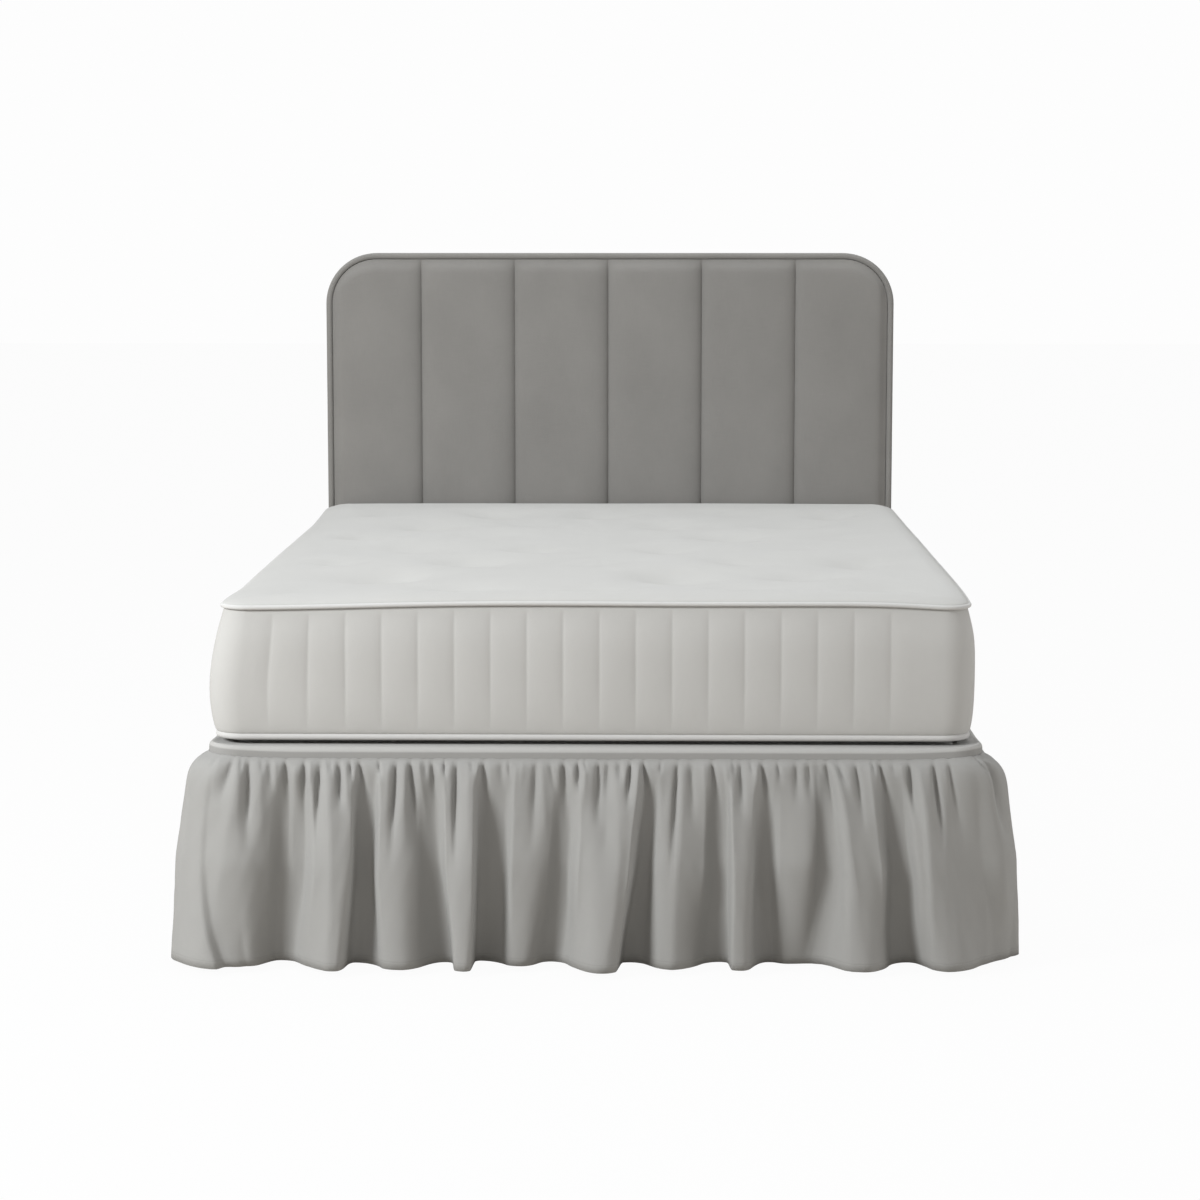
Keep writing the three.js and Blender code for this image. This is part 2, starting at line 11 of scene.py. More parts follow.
import bpy
import numpy as np
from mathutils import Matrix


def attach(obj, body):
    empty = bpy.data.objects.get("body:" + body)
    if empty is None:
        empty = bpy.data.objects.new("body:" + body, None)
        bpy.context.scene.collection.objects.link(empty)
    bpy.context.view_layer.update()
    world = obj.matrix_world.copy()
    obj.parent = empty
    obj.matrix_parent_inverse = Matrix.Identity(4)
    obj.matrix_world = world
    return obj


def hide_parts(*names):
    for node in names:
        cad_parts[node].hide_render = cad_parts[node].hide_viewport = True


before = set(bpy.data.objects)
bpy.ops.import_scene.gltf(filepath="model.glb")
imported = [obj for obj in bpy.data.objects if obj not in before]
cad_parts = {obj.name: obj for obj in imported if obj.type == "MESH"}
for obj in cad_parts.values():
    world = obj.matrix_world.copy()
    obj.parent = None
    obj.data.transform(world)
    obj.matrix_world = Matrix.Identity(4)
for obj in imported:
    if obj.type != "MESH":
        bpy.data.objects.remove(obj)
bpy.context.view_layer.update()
SEED = 7
MM = 0.001

# ---- sizes shared with the model, in metres ----
HALF_BASE = 0.706
BASE_LENGTH = 1.935
BASE_TOP = 0.41
BASE_BOTTOM = 0.21
FOOT_CORNER_R = 0.06
HEAD_CORNER_R = 0.012
BASE_EDGE_R = 0.008
CLOTH = 0.002
GAP = 0.0003
BAND_DROP = 0.02
BAND_RETURN = 0.05
HEM_Z = 0.013
SKIRT_REACH = 0.077
HEADBOARD_PAD = 0.026
HEADBOARD_PANEL = 0.052
HEADBOARD_DEPTH = HEADBOARD_PAD + 2 * GAP + HEADBOARD_PANEL
FOOT_Y = (SKIRT_REACH - BASE_LENGTH - HEADBOARD_DEPTH) / 2
HEAD_Y = FOOT_Y + BASE_LENGTH
SEAM_Z = BASE_TOP - BAND_DROP
DECK_TOP = BASE_TOP + GAP + CLOTH

FRONT_HALF = HALF_BASE - FOOT_CORNER_R
CORNER_ARC = math.pi / 2 * FOOT_CORNER_R
SIDE_START = FRONT_HALF + CORNER_ARC
PATH_HALF = SIDE_START + BASE_LENGTH - FOOT_CORNER_R - HEAD_CORNER_R


# ---- meshes ----
def linked(name, data):
    obj = bpy.data.objects.new(name, data)
    bpy.context.scene.collection.objects.link(obj)
    return obj


def add_object(name, points, faces, uv=None):
    mesh = bpy.data.meshes.new(name)
    mesh.from_pydata([tuple(p) for p in points], [], [tuple(f) for f in faces])
    if uv is not None:
        layer = mesh.uv_layers.new(name="cloth")
        corner = np.empty(len(mesh.loops), np.int32)
        mesh.loops.foreach_get("vertex_index", corner)
        layer.data.foreach_set("uv", np.asarray(uv, np.float32)[corner].ravel())
    mesh.shade_smooth()
    mesh.update()
    return linked(name, mesh)


def stacked(*columns):
    """Points from their x, y and so on, where a single number counts for all of them."""
    return np.stack(np.broadcast_arrays(*columns), -1)


def directions(angle):
    return stacked(np.cos(angle), np.sin(angle))


def lengths(path):
    """The distance along a path to each of its points."""
    return np.concatenate([[0], np.cumsum(np.linalg.norm(np.diff(path, axis=0), axis=1))])


def grid_uv(along, down):
    """Texture places of a grid, in metres: along its columns, and down from its first row."""
    return stacked(along[None, :], -down[:, None]).reshape(-1, 2)


def grid_quads(rows, columns, start=0, wrap=False, flip=False):
    """Faces of a grid of points, row by row from the top, seen from its front."""
    r = np.arange(rows - 1)[:, None]
    c = np.arange(columns if wrap else columns - 1)[None, :]
    after = (c + 1) % columns
    top, low = r * columns, (r + 1) * columns
    quads = np.stack([top + c, low + c, low + after, top + after], -1) + start
    quads = quads.reshape(-1, 4)
    return quads[:, ::-1] if flip else quads


def grid_normals(points):
    """Unit normals of a grid, out of its front."""
    down = np.gradient(points, axis=0)
    along = np.gradient(points, axis=1)
    normal = np.cross(down, along)
    return normal / np.maximum(np.linalg.norm(normal, axis=2, keepdims=True), 1e-12)


def cloth_sheet(name, front, uv, thickness, back=None):
    """A sheet of cloth with a front, a back one thickness behind it, and closed edges. The
    thickness may differ from row to row."""
    rows, columns = front.shape[:2]
    if back is None:
        back = front - grid_normals(front) * thickness
    start = rows * columns
    faces = [grid_quads(rows, columns), grid_quads(rows, columns, start, flip=True)]
    c, r = np.arange(columns - 1), np.arange(rows - 1)
    low = (rows - 1) * columns
    left, right = r * columns, r * columns + columns - 1
    edges = (c, c + 1), (low + c + 1, low + c), (left + columns, left), (right, right + columns)
    for a, b in edges:
        faces.append(np.stack([a, b, start + b, start + a], -1))
    points = np.concatenate([front.reshape(-1, 3), back.reshape(-1, 3)])
    return add_object(name, points, np.concatenate(faces), np.concatenate([uv, uv]))


def closed_loft(name, rings, uv):
    """Closed rings from the top down, each seen clockwise from above, capped by fans."""
    rings, uv = np.array(rings), np.concatenate(uv)
    rows, columns = rings.shape[:2]
    points = np.concatenate([rings.reshape(-1, 3), [rings[0].mean(0)], [rings[-1].mean(0)]])
    faces = grid_quads(rows, columns, wrap=True).tolist()
    top, last = rows * columns, (rows - 1) * columns
    for c in range(columns):
        after = (c + 1) % columns
        faces += [(top, c, after), (top + 1, last + after, last + c)]
    uv = np.concatenate([uv, [uv[0]], [uv[-1]]])
    return add_object(name, points, faces, uv)


TUBE_UV_RADIUS = 0.005


def tube(name, path, across, up, radius, sides, closed=True):
    """A tube along a path, in the plane of `across` at each point and one `up` for all."""
    angle = 2 * np.pi * np.arange(sides) / sides
    ring = np.cos(angle)[:, None] * across[:, None, :] + np.sin(angle)[:, None] * up
    points = path[:, None, :] + np.asarray(radius).reshape(-1, 1, 1) * ring
    count = len(path)
    uv = stacked(lengths(path)[:, None], angle[None, :] * TUBE_UV_RADIUS)
    faces, last = grid_quads(count, sides, wrap=True).tolist(), (count - 1) * sides
    if closed:
        faces += [(last + c, c, (c + 1) % sides, last + (c + 1) % sides) for c in range(sides)]
    else:
        faces += [range(sides), range(count * sides - 1, last - 1, -1)]
    return add_object(name, points.reshape(-1, 3), faces, uv.reshape(-1, 2))


def mix(a, b, t):
    return a + (b - a) * t


def hump(t):
    """0 at 0, 1 at 1, and back towards 0 past it."""
    return t * math.exp(1 - t)


def smoothstep(t):
    t = np.clip(t, 0, 1)
    return t * t * (3 - 2 * t)


def grown(value, start, width):
    return np.clip((value - start) / width, 0, 1)


def eased(value, start, width):
    return smoothstep(grown(value, start, width))


def waves(seed, count, low, high):
    """The mean of a few seeded sine waves, between -1 and 1, as a function of place. With y they
    run aslant, by `lean` to either side."""
    draw = np.random.default_rng(seed).uniform
    parts = [(draw(low, high), draw(0, 2 * np.pi), draw(0.5, 1)) for _ in range(count)]

    def wander(x, y=0.0, lean=0.35):
        total = 0.0
        for k, (rate, phase, share) in enumerate(parts):
            total = total + share * np.sin(rate * x + lean * rate * y * (-1) ** k + phase)
        return total / sum(share for _, _, share in parts)

    return wander


# ---- the path that the skirt follows round the base ----
def path_point(at, out):
    """Plan points at a distance along the base's face, and a distance out from it."""
    at, out = np.broadcast_arrays(np.asarray(at, float), np.asarray(out, float))
    side, along = np.where(at < 0, -1.0, 1.0), np.abs(at)
    angle = np.clip((along - FRONT_HALF) / FOOT_CORNER_R, 0, math.pi / 2)
    reach = FOOT_CORNER_R + out
    x = side * (np.minimum(along, FRONT_HALF) + reach * np.sin(angle))
    y = FOOT_Y + FOOT_CORNER_R - reach * np.cos(angle) + np.maximum(0, along - SIDE_START)
    return x, y


# ---- the ruffle's folds: those of the model, placed closer to the photo's ----
# A row for each crest or valley line, in mm: its places along the path at the seam, half way
# down and at the hem, and how far it stands out at the last two. The rest is about the flank on
# its left: how steep it is in the model, where it turns up from its valley half way down and at
# the hem, and the share of its rise made in that turn.
FOOT_FOLDS = [
    (-689, -697, -671, 52, 67, 0, 0.3, 0.3, 0), (-661, -672, -655, 45, 42, 0, 0.5, 0.5, 0.65),
    (-625, -641, -630, 50, 35, 0, 0.3, 0.2, 0), (-548, -554, -576, 5, -12, 0.02, 0.3, 0.3, 0.25),
    (-476, -464, -469, 54, 67, 0.05, 0.4, 0.32, 0.6),
    (-411, -419, -438, 5, 4, 0.13, 0.35, 0.48, 0.6),
    (-351, -356, -348, 46, 58, 0.06, 0.33, 0.55, 0.6),
    (-284, -282, -273, 6, -2, 0.02, 0.5, 0.5, 0.2),
    (-238, -237, -236, 52, 66, 0.12, 0.16, 0.44, 0.65),
    (-193, -194, -209, 5, -14, 0.14, 0.48, 0.44, 0.7),
    (-111, -120, -132, 32, 26, 0.03, 0.5, 0.6, 0.5), (-48, -53, -80, 5, -10, 0.05, 0.3, 0.4, 0.3),
    (32, 21, 11, 58, 77, 0.05, 0.2, 0.37, 0.55), (101, 84, 65, 5, -6, 0.15, 0.16, 0.33, 0.7),
    (159, 140, 141, 38, 47, 0.05, 0.35, 0.4, 0.3), (222, 225, 229, 5, -12, 0.04, 0.16, 0.42, 0.45),
    (268, 267, 266, 46, 52, 0.14, 0.5, 0.47, 0.65), (312, 303, 318, 6, -12, 0.05, 0.35, 0.6, 0.5),
    (376, 380, 354, 31, 0, 0.06, 0.3, 0.35, 0.45), (409, 422, 396, 9, -3, 0.04, 0.4, 0.4, 0.2),
    (430, 468, 487, 50, 62, 0.03, 0.6, 0.42, 0.5), (526, 544, 572, 5, -14, 0.08, 0.16, 0.45, 0.6),
    (595, 615, 642, 46, 56, 0.05, 0.5, 0.3, 0.6), (659, 677, 699, 18, 27, 0, 0.5, 0.5, 0.2),
]
SIDE_TURN = (0.3, 0.38, 0.5)
TURN_WIDTH = 0.28  # of the flank
SHARP_TO_HEM = 0.64  # turns with at least this share stay sharp down to the hem
HEM_SOFTENING = 0.85  # how much of its turn every other flank loses towards the hem
SIDE_FOLDS = 13
LEFT_PHASE, RIGHT_PHASE = 0.4, 2.3
SIDE_WAVE = Group(drift=2.4, fullness=1.7, lean=3.1, valley=1.9)
SIDE_DRIFT = Group(crest=0.17, valley=0.1)
SIDE_CREST = Group(lean=0.014, slack=0.056, full=SKIRT_REACH + 0.002, mid=0.85, flank=0.09)
SIDE_VALLEY = Group(place=0.52, lean=0.4, slack=-0.015, full=0.002, mid=0.005, flank=0.12)
FIRST_SIDE_CREST = SIDE_START + 0.004
SIDE_PITCH = (PATH_HALF - 0.01 - FIRST_SIDE_CREST) / (SIDE_FOLDS - 0.5)


def side_folds(phase):
    """The rows of one side's folds, from slow waves, so that no two neighbours are alike."""
    folds = []
    for k in range(SIDE_FOLDS):
        drift = SIDE_DRIFT.crest * math.sin(SIDE_WAVE.drift * k + phase)
        valley_drift = SIDE_DRIFT.valley * math.sin(SIDE_WAVE.valley * k - phase)
        fullness = (1 + math.sin(SIDE_WAVE.fullness * k + 2 * phase)) / 2
        lean = SIDE_CREST.lean * math.sin(SIDE_WAVE.lean * k + phase)
        crest = FIRST_SIDE_CREST + (k + drift) * SIDE_PITCH
        valley = FIRST_SIDE_CREST + (k + SIDE_VALLEY.place + valley_drift) * SIDE_PITCH
        share = 1 if k == 0 else fullness
        out = mix(SIDE_CREST.slack, SIDE_CREST.full, share)
        back = mix(SIDE_VALLEY.slack, SIDE_VALLEY.full, fullness)
        folds.append((crest - lean / 2, crest, crest + lean, SIDE_CREST.mid * out, out,
                      SIDE_CREST.flank * fullness))
        folds.append((valley, valley, valley + SIDE_VALLEY.lean * lean, SIDE_VALLEY.mid, back,
                      SIDE_VALLEY.flank * (1 - fullness)))
    last = folds.pop()
    return folds + [(PATH_HALF,) * 3 + last[3:]]


def mirrored(folds):
    """The left side's rows: reversed, with each flank moved to the other line of its pair."""
    flanks = [fold[5] for fold in folds[1:]] + [0]
    return [(-f[0], -f[1], -f[2], f[3], f[4], flank) for f, flank in zip(folds, flanks)][::-1]


def in_metres(rows, sizes):
    """The table's rows with their first values, which are sizes, in metres."""
    return [tuple(v * MM for v in row[:sizes]) + row[sizes:] for row in rows]


FOLDS = np.array(
    [fold + SIDE_TURN for fold in mirrored(side_folds(LEFT_PHASE))]
    + in_metres(FOOT_FOLDS, 5)
    + [fold + SIDE_TURN for fold in side_folds(RIGHT_PHASE)]
)
SEAM_OUT = 0.0048
VALLEY_OUT = 0.008  # a line that stands out no farther than this half way down is a valley
SWELL = 0.58  # power by which crests come out below the seam
FLANK_GROWTH = 3
VALLEY_BULGE = 0.01
BULGE_PLACE = 0.07  # share of the drop


def line_place(seam, mid, hem, down):
    """Where a line that passes three places lies, `down` from seam (0) to hem (1)."""
    return mix(seam, hem, down) - 2 * (seam + hem - 2 * mid) * down * (1 - down)


def fold_lines(down):
    """Where every fold line lies and how far it stands out, `down` from seam (0) to hem (1)."""
    seam, mid, hem, mid_out, hem_out = FOLDS[:, :5].T
    upper, lower = min(1, 2 * down), max(0, 2 * down - 1)
    swell = np.where(mid_out > VALLEY_OUT, upper**SWELL, upper)
    out = mix(mix(SEAM_OUT, mid_out, swell), hem_out, lower)
    bulge = VALLEY_BULGE * hump(down / BULGE_PLACE)
    return line_place(seam, mid, hem, down), np.where(mid_out > VALLEY_OUT, out, out + bulge)


# ---- where a fold turns sharply ----
# A row for each edge, in mm: its places at the seam, half way down and at the hem, how far it
# reaches to its left and its right, how proud it stands, and where it ends if above the hem.
WHOLE = 900
FOOT_EDGES = [
    (-643, -662, -681, 12, 14, 5), (-542, -552, -545, 4, 22, 9), (-484, -476, -485, 12, 14, 7),
    (-427, -435, -453, 18, 4, 8), (-384, -398, -385, 4, 25, 9), (-281, -279, -257, 3.5, 14, 8),
    (-212, -215, -221, 14, 3.5, 9), (-141, -153, -160, 5, 20, 7), (-42, -38, -46, 4, 12, 8),
    (32, 45, 16, 14, 16, 4), (91, 77, 47, 20, 3.5, 9), (157, 149, 141, 8, 12, 5),
    (216, 212, 192, 20, 10, 4), (236, 252, 246, 4, 12, 9), (302, 290, 280, 14, 5, 6),
    (330, 320, 335, 5, 18, 4, 260), (417, 420, 390, 14, 8, 5), (431, 465, 456, 6, 12, 8),
    (518, 533, 535, 18, 4, 9), (585, 606, 612, 5, 12, 8), (658, 695, 700, 12, 14, 4),
]
EDGE_START = 0.022
EDGE_SHAPE = 1.4
SIDE_EDGE = Group(place=(0.024, 0.044), steep=(0.004, 0.009), soft=(0.014, 0.028),
                  proud=(0.004, 0.009))

# ---- creases and ridges that run down from the gathered seam ----
# A row for each crease, in mm: its place at the seam and where it ends, its length, its half
# width at the seam and at its end, and its depth: 1 holds the cloth back as the seam does.
FOOT_CREASES = [
    (-682, -683, 16, 2.5, 3, 0.8), (-654, -670, 70, 4, 12, 0.85), (-641, -641, 22, 2.5, 3, 0.7),
    (-627, -630, 130, 7, 12, 0.8), (-604, -603, 20, 2.5, 4, 0.7), (-590, -584, 50, 4, 8, 0.5),
    (-561, -551, 110, 4.5, 12, 0.95), (-526, -528, 130, 4, 10, 0.7),
    (-497, -508, 150, 4.5, 12, 0.65), (-481, -477, 20, 2.5, 3, 0.7),
    (-464, -458, 75, 3.5, 7, 0.85), (-444, -437, 30, 3, 4, 0.7), (-427, -407, 90, 4, 13, 0.97),
    (-392, -384, 26, 3, 4, 0.8), (-359, -370, 150, 4, 9, 0.65), (-334, -318, 140, 4, 14, 0.9),
    (-310, -302, 30, 5, 4, 0.7), (-295, -282, 90, 4, 11, 0.9), (-272, -270, 24, 3, 3, 0.8),
    (-250, -252, 170, 4, 9, 0.62), (-224, -220, 16, 2.5, 3, 0.6), (-201, -197, 100, 4.5, 11, 0.95),
    (-170, -165, 44, 7, 8, 0.7), (-155, -153, 26, 3, 4, 0.6), (-106, -113, 135, 4.5, 12, 0.65),
    (-82, -68, 50, 4, 7, 0.5), (-56, -44, 150, 5, 12, 0.97), (-30, -27, 48, 4, 6, 0.8),
    (-18, -13, 16, 2.5, 3, 0.7), (8, 7, 100, 4, 12, 0.85), (24, 17, 190, 22, 34, 0.5),
    (25, 22, 60, 3, 8, 0.75), (44, 48, 34, 4, 5, 0.8), (66, 60, 68, 3.5, 7, 0.85),
    (89, 102, 90, 4, 11, 0.97), (121, 119, 22, 4, 4, 0.7), (151, 139, 170, 4.5, 8, 0.75),
    (175, 180, 100, 6, 9, 0.6), (213, 233, 110, 4, 13, 0.97), (250, 256, 22, 3, 3, 0.7),
    (264, 269, 82, 4.5, 9, 0.8), (281, 288, 18, 2.5, 3, 0.7), (303, 322, 110, 4.5, 11, 0.95),
    (331, 340, 36, 4, 6, 0.7), (365, 369, 72, 4, 9, 0.75), (387, 392, 62, 4, 8, 0.8),
    (401, 415, 26, 3, 3, 0.7), (419, 445, 100, 4, 13, 0.97), (439, 456, 36, 4, 5, 0.7),
    (472, 491, 100, 4, 9, 0.6), (501, 511, 20, 2.5, 3, 0.6), (516, 548, 120, 4, 15, 0.97),
    (538, 544, 20, 3, 3, 0.7), (569, 583, 92, 4, 9, 0.8), (613, 634, 135, 4.5, 11, 0.9),
    (641, 669, 145, 4, 12, 0.9), (689, 703, 28, 2.5, 3, 0.8), (704, 724, 120, 4, 9, 0.8),
]
# The ridges' rows are the same, but end with how proud each stands.
FOOT_RIDGES = [
    (-673, -676, 55, 5, 8, 5), (-605, -600, 160, 7, 13, 4), (-580, -573, 62, 4, 8, 4),
    (-514, -520, 90, 4, 8, 5), (-470, -469, 32, 3, 3, 3), (-452, -439, 105, 4, 9, 5),
    (-372, -376, 52, 4, 6, 4), (-343, -345, 135, 5, 8, 6), (-319, -296, 125, 4, 8, 5),
    (-260, -266, 36, 3, 4, 4), (-228, -227, 190, 5, 10, 5), (-210, -213, 36, 3, 4, 4),
    (-129, -134, 48, 3, 5, 4), (-96, -82, 145, 5, 12, 5), (-69, -58, 24, 3, 4, 3),
    (-15, -20, 72, 4, 7, 5), (61, 54, 42, 3, 4, 4), (79, 79, 82, 6, 10, 5),
    (119, 121, 130, 6, 10, 4), (198, 205, 125, 6, 12, 5), (293, 303, 105, 6, 10, 5),
    (377, 381, 42, 4, 5, 4), (411, 402, 160, 5, 9, 5), (456, 469, 62, 6, 8, 4),
    (496, 516, 125, 5, 9, 4), (554, 571, 92, 6, 9, 5), (632, 651, 92, 5, 8, 4),
]
RIDGE_START = 0.007
SOFT_END = 1.35  # a crease or ridge fades out over this many times its length
GATHER_SHAPE = 1.5
SIDE_GATHERS_MARGIN = 0.02
SIDE_CREASE = Group(pitch=(0.021, 0.034), length=(0.03, 0.165), kept=(0.6, 1), lean=0.014,
                    depth=(0.7, 0.97), seam_half=(0.003, 0.0055), end_half=(0.006, 0.013))
SIDE_RIDGE = Group(length=(0.04, 0.16), proud=(0.003, 0.006))


def side_gathers(side, seed):
    """Seeded creases down one side, with a ridge between each two."""
    draw = np.random.default_rng(seed).uniform
    creases, ridges, at = [], [], SIDE_START + SIDE_GATHERS_MARGIN
    while at < PATH_HALF - SIDE_GATHERS_MARGIN:
        pitch = draw(*SIDE_CREASE.pitch)
        lean = draw(-1, 1, 2) * SIDE_CREASE.lean
        length = draw(*SIDE_CREASE.length) * draw(*SIDE_CREASE.kept)
        widths = draw(*SIDE_CREASE.seam_half), draw(*SIDE_CREASE.end_half)
        creases.append((side * at, side * at + lean[0], length, *widths, draw(*SIDE_CREASE.depth)))
        place = side * (at + pitch / 2)
        ridges.append((place, place + lean[1], draw(*SIDE_RIDGE.length), *widths,
                       draw(*SIDE_RIDGE.proud)))
        at += pitch
    return creases, ridges


def side_edges(seed):
    """Both shoulders of every fold along the sides."""
    draw = np.random.default_rng(seed).uniform
    edges = []
    for fold in FOLDS:
        if abs(fold[0]) < SIDE_START or fold[4] < SIDE_CREST.slack:
            continue
        for turn in (-1, 1):
            steep, soft = draw(*SIDE_EDGE.steep), draw(*SIDE_EDGE.soft)
            reach = (steep, soft) if turn < 0 else (soft, steep)
            places = fold[:3] + turn * draw(*SIDE_EDGE.place)
            edges.append((*places, *reach, draw(*SIDE_EDGE.proud), WHOLE * MM))
    return edges


LEFT_GATHERS, RIGHT_GATHERS = side_gathers(-1, SEED), side_gathers(1, SEED + 1)
CREASES = in_metres(FOOT_CREASES, 5) + LEFT_GATHERS[0] + RIGHT_GATHERS[0]
RIDGES = in_metres(FOOT_RIDGES, 6) + LEFT_GATHERS[1] + RIGHT_GATHERS[1]
EDGES = in_metres([(*edge, WHOLE)[:7] for edge in FOOT_EDGES], 7) + side_edges(SEED + 5)

RUFFLE_ROWS = 40
ROW_CROWDING = 1.6  # power by which the rows lie closer together near the seam
FRONT_COLUMN, SIDE_COLUMN = 0.0029, 0.0064
FRONT_END = SIDE_START + 0.02
FEWEST_COLUMNS = 6  # in a flank
CROWD = Group(more=2.5, width=0.17)  # columns where a flank turns up
HEM_DEPTH = 0.014
RUFFLE_CLOTH = 0.0014
# The cloth's top edge thins to a feather edge that laps over the band's.
SEAM_EDGE = 0.0002
SEAM_TURN = 0.008
SEAM_LAP = 0.001
SEAM_PUCKER = Group(high=0.0018, fall=0.004)
BAND_SLACK = 0.0005
BAND_RIPPLE = waves(SEED + 3, 5, 60, 220)
# Each is (where it starts, over how far it grows), for a distance out or down.
PROUD_FROM = (-0.004, 0.03)
CREASE_FROM = (0.004, 0.012)
RIPPLE_FROM = (0.006, 0.02)
CREASE_BACK = 0.0026
RIPPLE = 0.0012
RIPPLE_START = 0.1  # share of the drop
REACH_SLACK = 0.003  # by which the fullest folds may pass SKIRT_REACH
UV_ROW = 0.7  # share of the drop at which the cloth's length is taken for its weave
# At the foot's corners the mattress lifts the skirt's edge, and the ruffle stands out sooner.
CORNER_MIDDLE = FRONT_HALF + CORNER_ARC * 0.6
CORNER_REACH = 0.085
CORNER_LIFT = 0.0055
CORNER_LIFT_END = 0.5  # share of the drop
CORNER_SWELL = 0.013
CORNER_PLACE = 0.09  # share of the drop


def ruffle_columns():
    """Every column as (its fold, its place between that fold and the next), closer together
    where the flank turns up."""
    columns, fine = [], np.linspace(0, 1, 201)
    for k in range(len(FOLDS) - 1):
        width = FOLDS[k + 1][0] - FOLDS[k][0]
        step = FRONT_COLUMN if abs(FOLDS[k][0]) < FRONT_END else SIDE_COLUMN
        count = max(FEWEST_COLUMNS, round(width / step))
        turn = FOLDS[k + 1][6:8].mean()
        turn = turn if FOLDS[k][3] < FOLDS[k + 1][3] else 1 - turn
        more = CROWD.more * FOLDS[k + 1][8]
        crowd = np.cumsum(1 + more * np.exp(-((fine - turn) / CROWD.width) ** 2))
        crowd = (crowd - crowd[0]) / (crowd[-1] - crowd[0])
        columns += [(k, t) for t in np.interp(np.arange(count) / count, crowd, fine)]
    return np.array(columns + [(len(FOLDS) - 2, 1.0)])


def gathered(at, fall, rows):
    """Each crease or ridge at a distance down from the seam: its size there, and its share at
    each place across the cloth."""
    for start, end, length, seam_half, end_half, size in rows:
        fade = fall / (SOFT_END * length)
        if fade >= 1:
            continue
        reach = (at - mix(start, end, fade)) / mix(seam_half, end_half, fade)
        yield size * (1 - smoothstep(fade)), np.exp(-np.abs(reach) ** GATHER_SHAPE)


def edge_relief(at, down, fall):
    """How far the folds' sharp edges stand proud at each place."""
    total = np.zeros_like(at)
    for seam, mid, hem, left, right, proud, length in EDGES:
        gap = at - line_place(seam, mid, hem, down)
        reach = np.where(gap < 0, left, right)
        proud *= 1 - smoothstep(fall / length)
        total += proud * np.exp(-np.abs(gap / reach) ** EDGE_SHAPE)
    return total * smoothstep(fall / EDGE_START)


def near_corner(at):
    """1 at the foot's corners and 0 away from them."""
    return np.exp(-(((np.abs(at) - CORNER_MIDDLE) / CORNER_REACH) ** 2))


def ruffle():
    """The gathered strip: its folds, with edges, ridges and creases, then its seam and corners."""
    columns = ruffle_columns()
    fold, t = columns[:, 0].astype(int), columns[:, 1]
    top, drop = SEAM_Z - GAP, SEAM_Z - GAP - HEM_Z
    downs = (np.arange(RUFFLE_ROWS) / (RUFFLE_ROWS - 1)) ** ROW_CROWDING
    ripple = waves(SEED + 2, 6, 60, 260)
    points = np.empty((RUFFLE_ROWS, len(columns), 3))
    for r, down in enumerate(downs):
        fall = down * drop
        line_at, line_out = fold_lines(down)
        steep, turn_mid, turn_hem, share = FOLDS[fold + 1, 5:].T
        sideways = t + steep * (1 - share) * min(1, FLANK_GROWTH * down) * np.sin(2 * np.pi * t)
        at = mix(line_at[fold], line_at[fold + 1], sideways)
        sides = line_out[fold], line_out[fold + 1]
        low, high = np.sort(sides, axis=0)
        up = np.where(sides[0] < sides[1], t, 1 - t)
        turn = mix(turn_mid, turn_hem, smoothstep(2 * down - 1))
        share = share * (1 - HEM_SOFTENING * smoothstep(2 * down - 1) * (share < SHARP_TO_HEM))
        sharp, soft = smoothstep((up - turn) / TURN_WIDTH + 0.5), (1 - np.cos(np.pi * up)) / 2
        out = mix(low, high, share * sharp + (1 - share) * soft)
        proud = grown(out, *PROUD_FROM)
        out = out + edge_relief(at, down, fall) * proud
        for size, across in gathered(at, fall, RIDGES):
            out = out + size * smoothstep(fall / RIDGE_START) * across * proud
        hold = np.ones_like(at)
        for size, across in gathered(at, fall, CREASES):
            hold *= 1 - size * across
        out = np.where(out > SEAM_OUT, mix(SEAM_OUT, out, hold), out)
        out = out - CREASE_BACK * (1 - hold) * eased(fall, *CREASE_FROM)
        on_band = GAP + CLOTH + BAND_SLACK * (1 + BAND_RIPPLE(at)) + SEAM_EDGE
        out = mix(on_band, out, smoothstep(fall / SEAM_TURN))
        loose = smoothstep(down / RIPPLE_START) * grown(out, *RIPPLE_FROM)
        out = out + RIPPLE * loose * ripple(at, fall)
        out = out + CORNER_SWELL * near_corner(at) * hump(down / CORNER_PLACE)
        past = REACH_SLACK * np.tanh((out - SKIRT_REACH) / REACH_SLACK)
        x, y = path_point(at, np.minimum(out, SKIRT_REACH + past))
        pucker = SEAM_PUCKER.high * hold * math.exp(-fall / SEAM_PUCKER.fall)
        lift = CORNER_LIFT * near_corner(at) * (1 - smoothstep(down / CORNER_LIFT_END))
        lap = SEAM_LAP * (1 - smoothstep(fall / SEAM_TURN))
        points[r] = stacked(x, y, top - fall + pucker + lift + lap)
    uv = grid_uv(lengths(points[np.searchsorted(downs, UV_ROW)]), downs * drop)
    cloth = mix(SEAM_EDGE, RUFFLE_CLOTH, smoothstep(downs * drop / SEAM_TURN))
    return cloth_sheet("ruffle", points, uv, cloth[:, None, None])


# ---- band ----
BAND_EDGE_STEPS = 8
BAND_FLAT_STEPS = 4
BAND_STEP = 0.01
BAND_CORNER_STEPS = 16
BAND_LIFT_START = 0.012  # inside the base's face


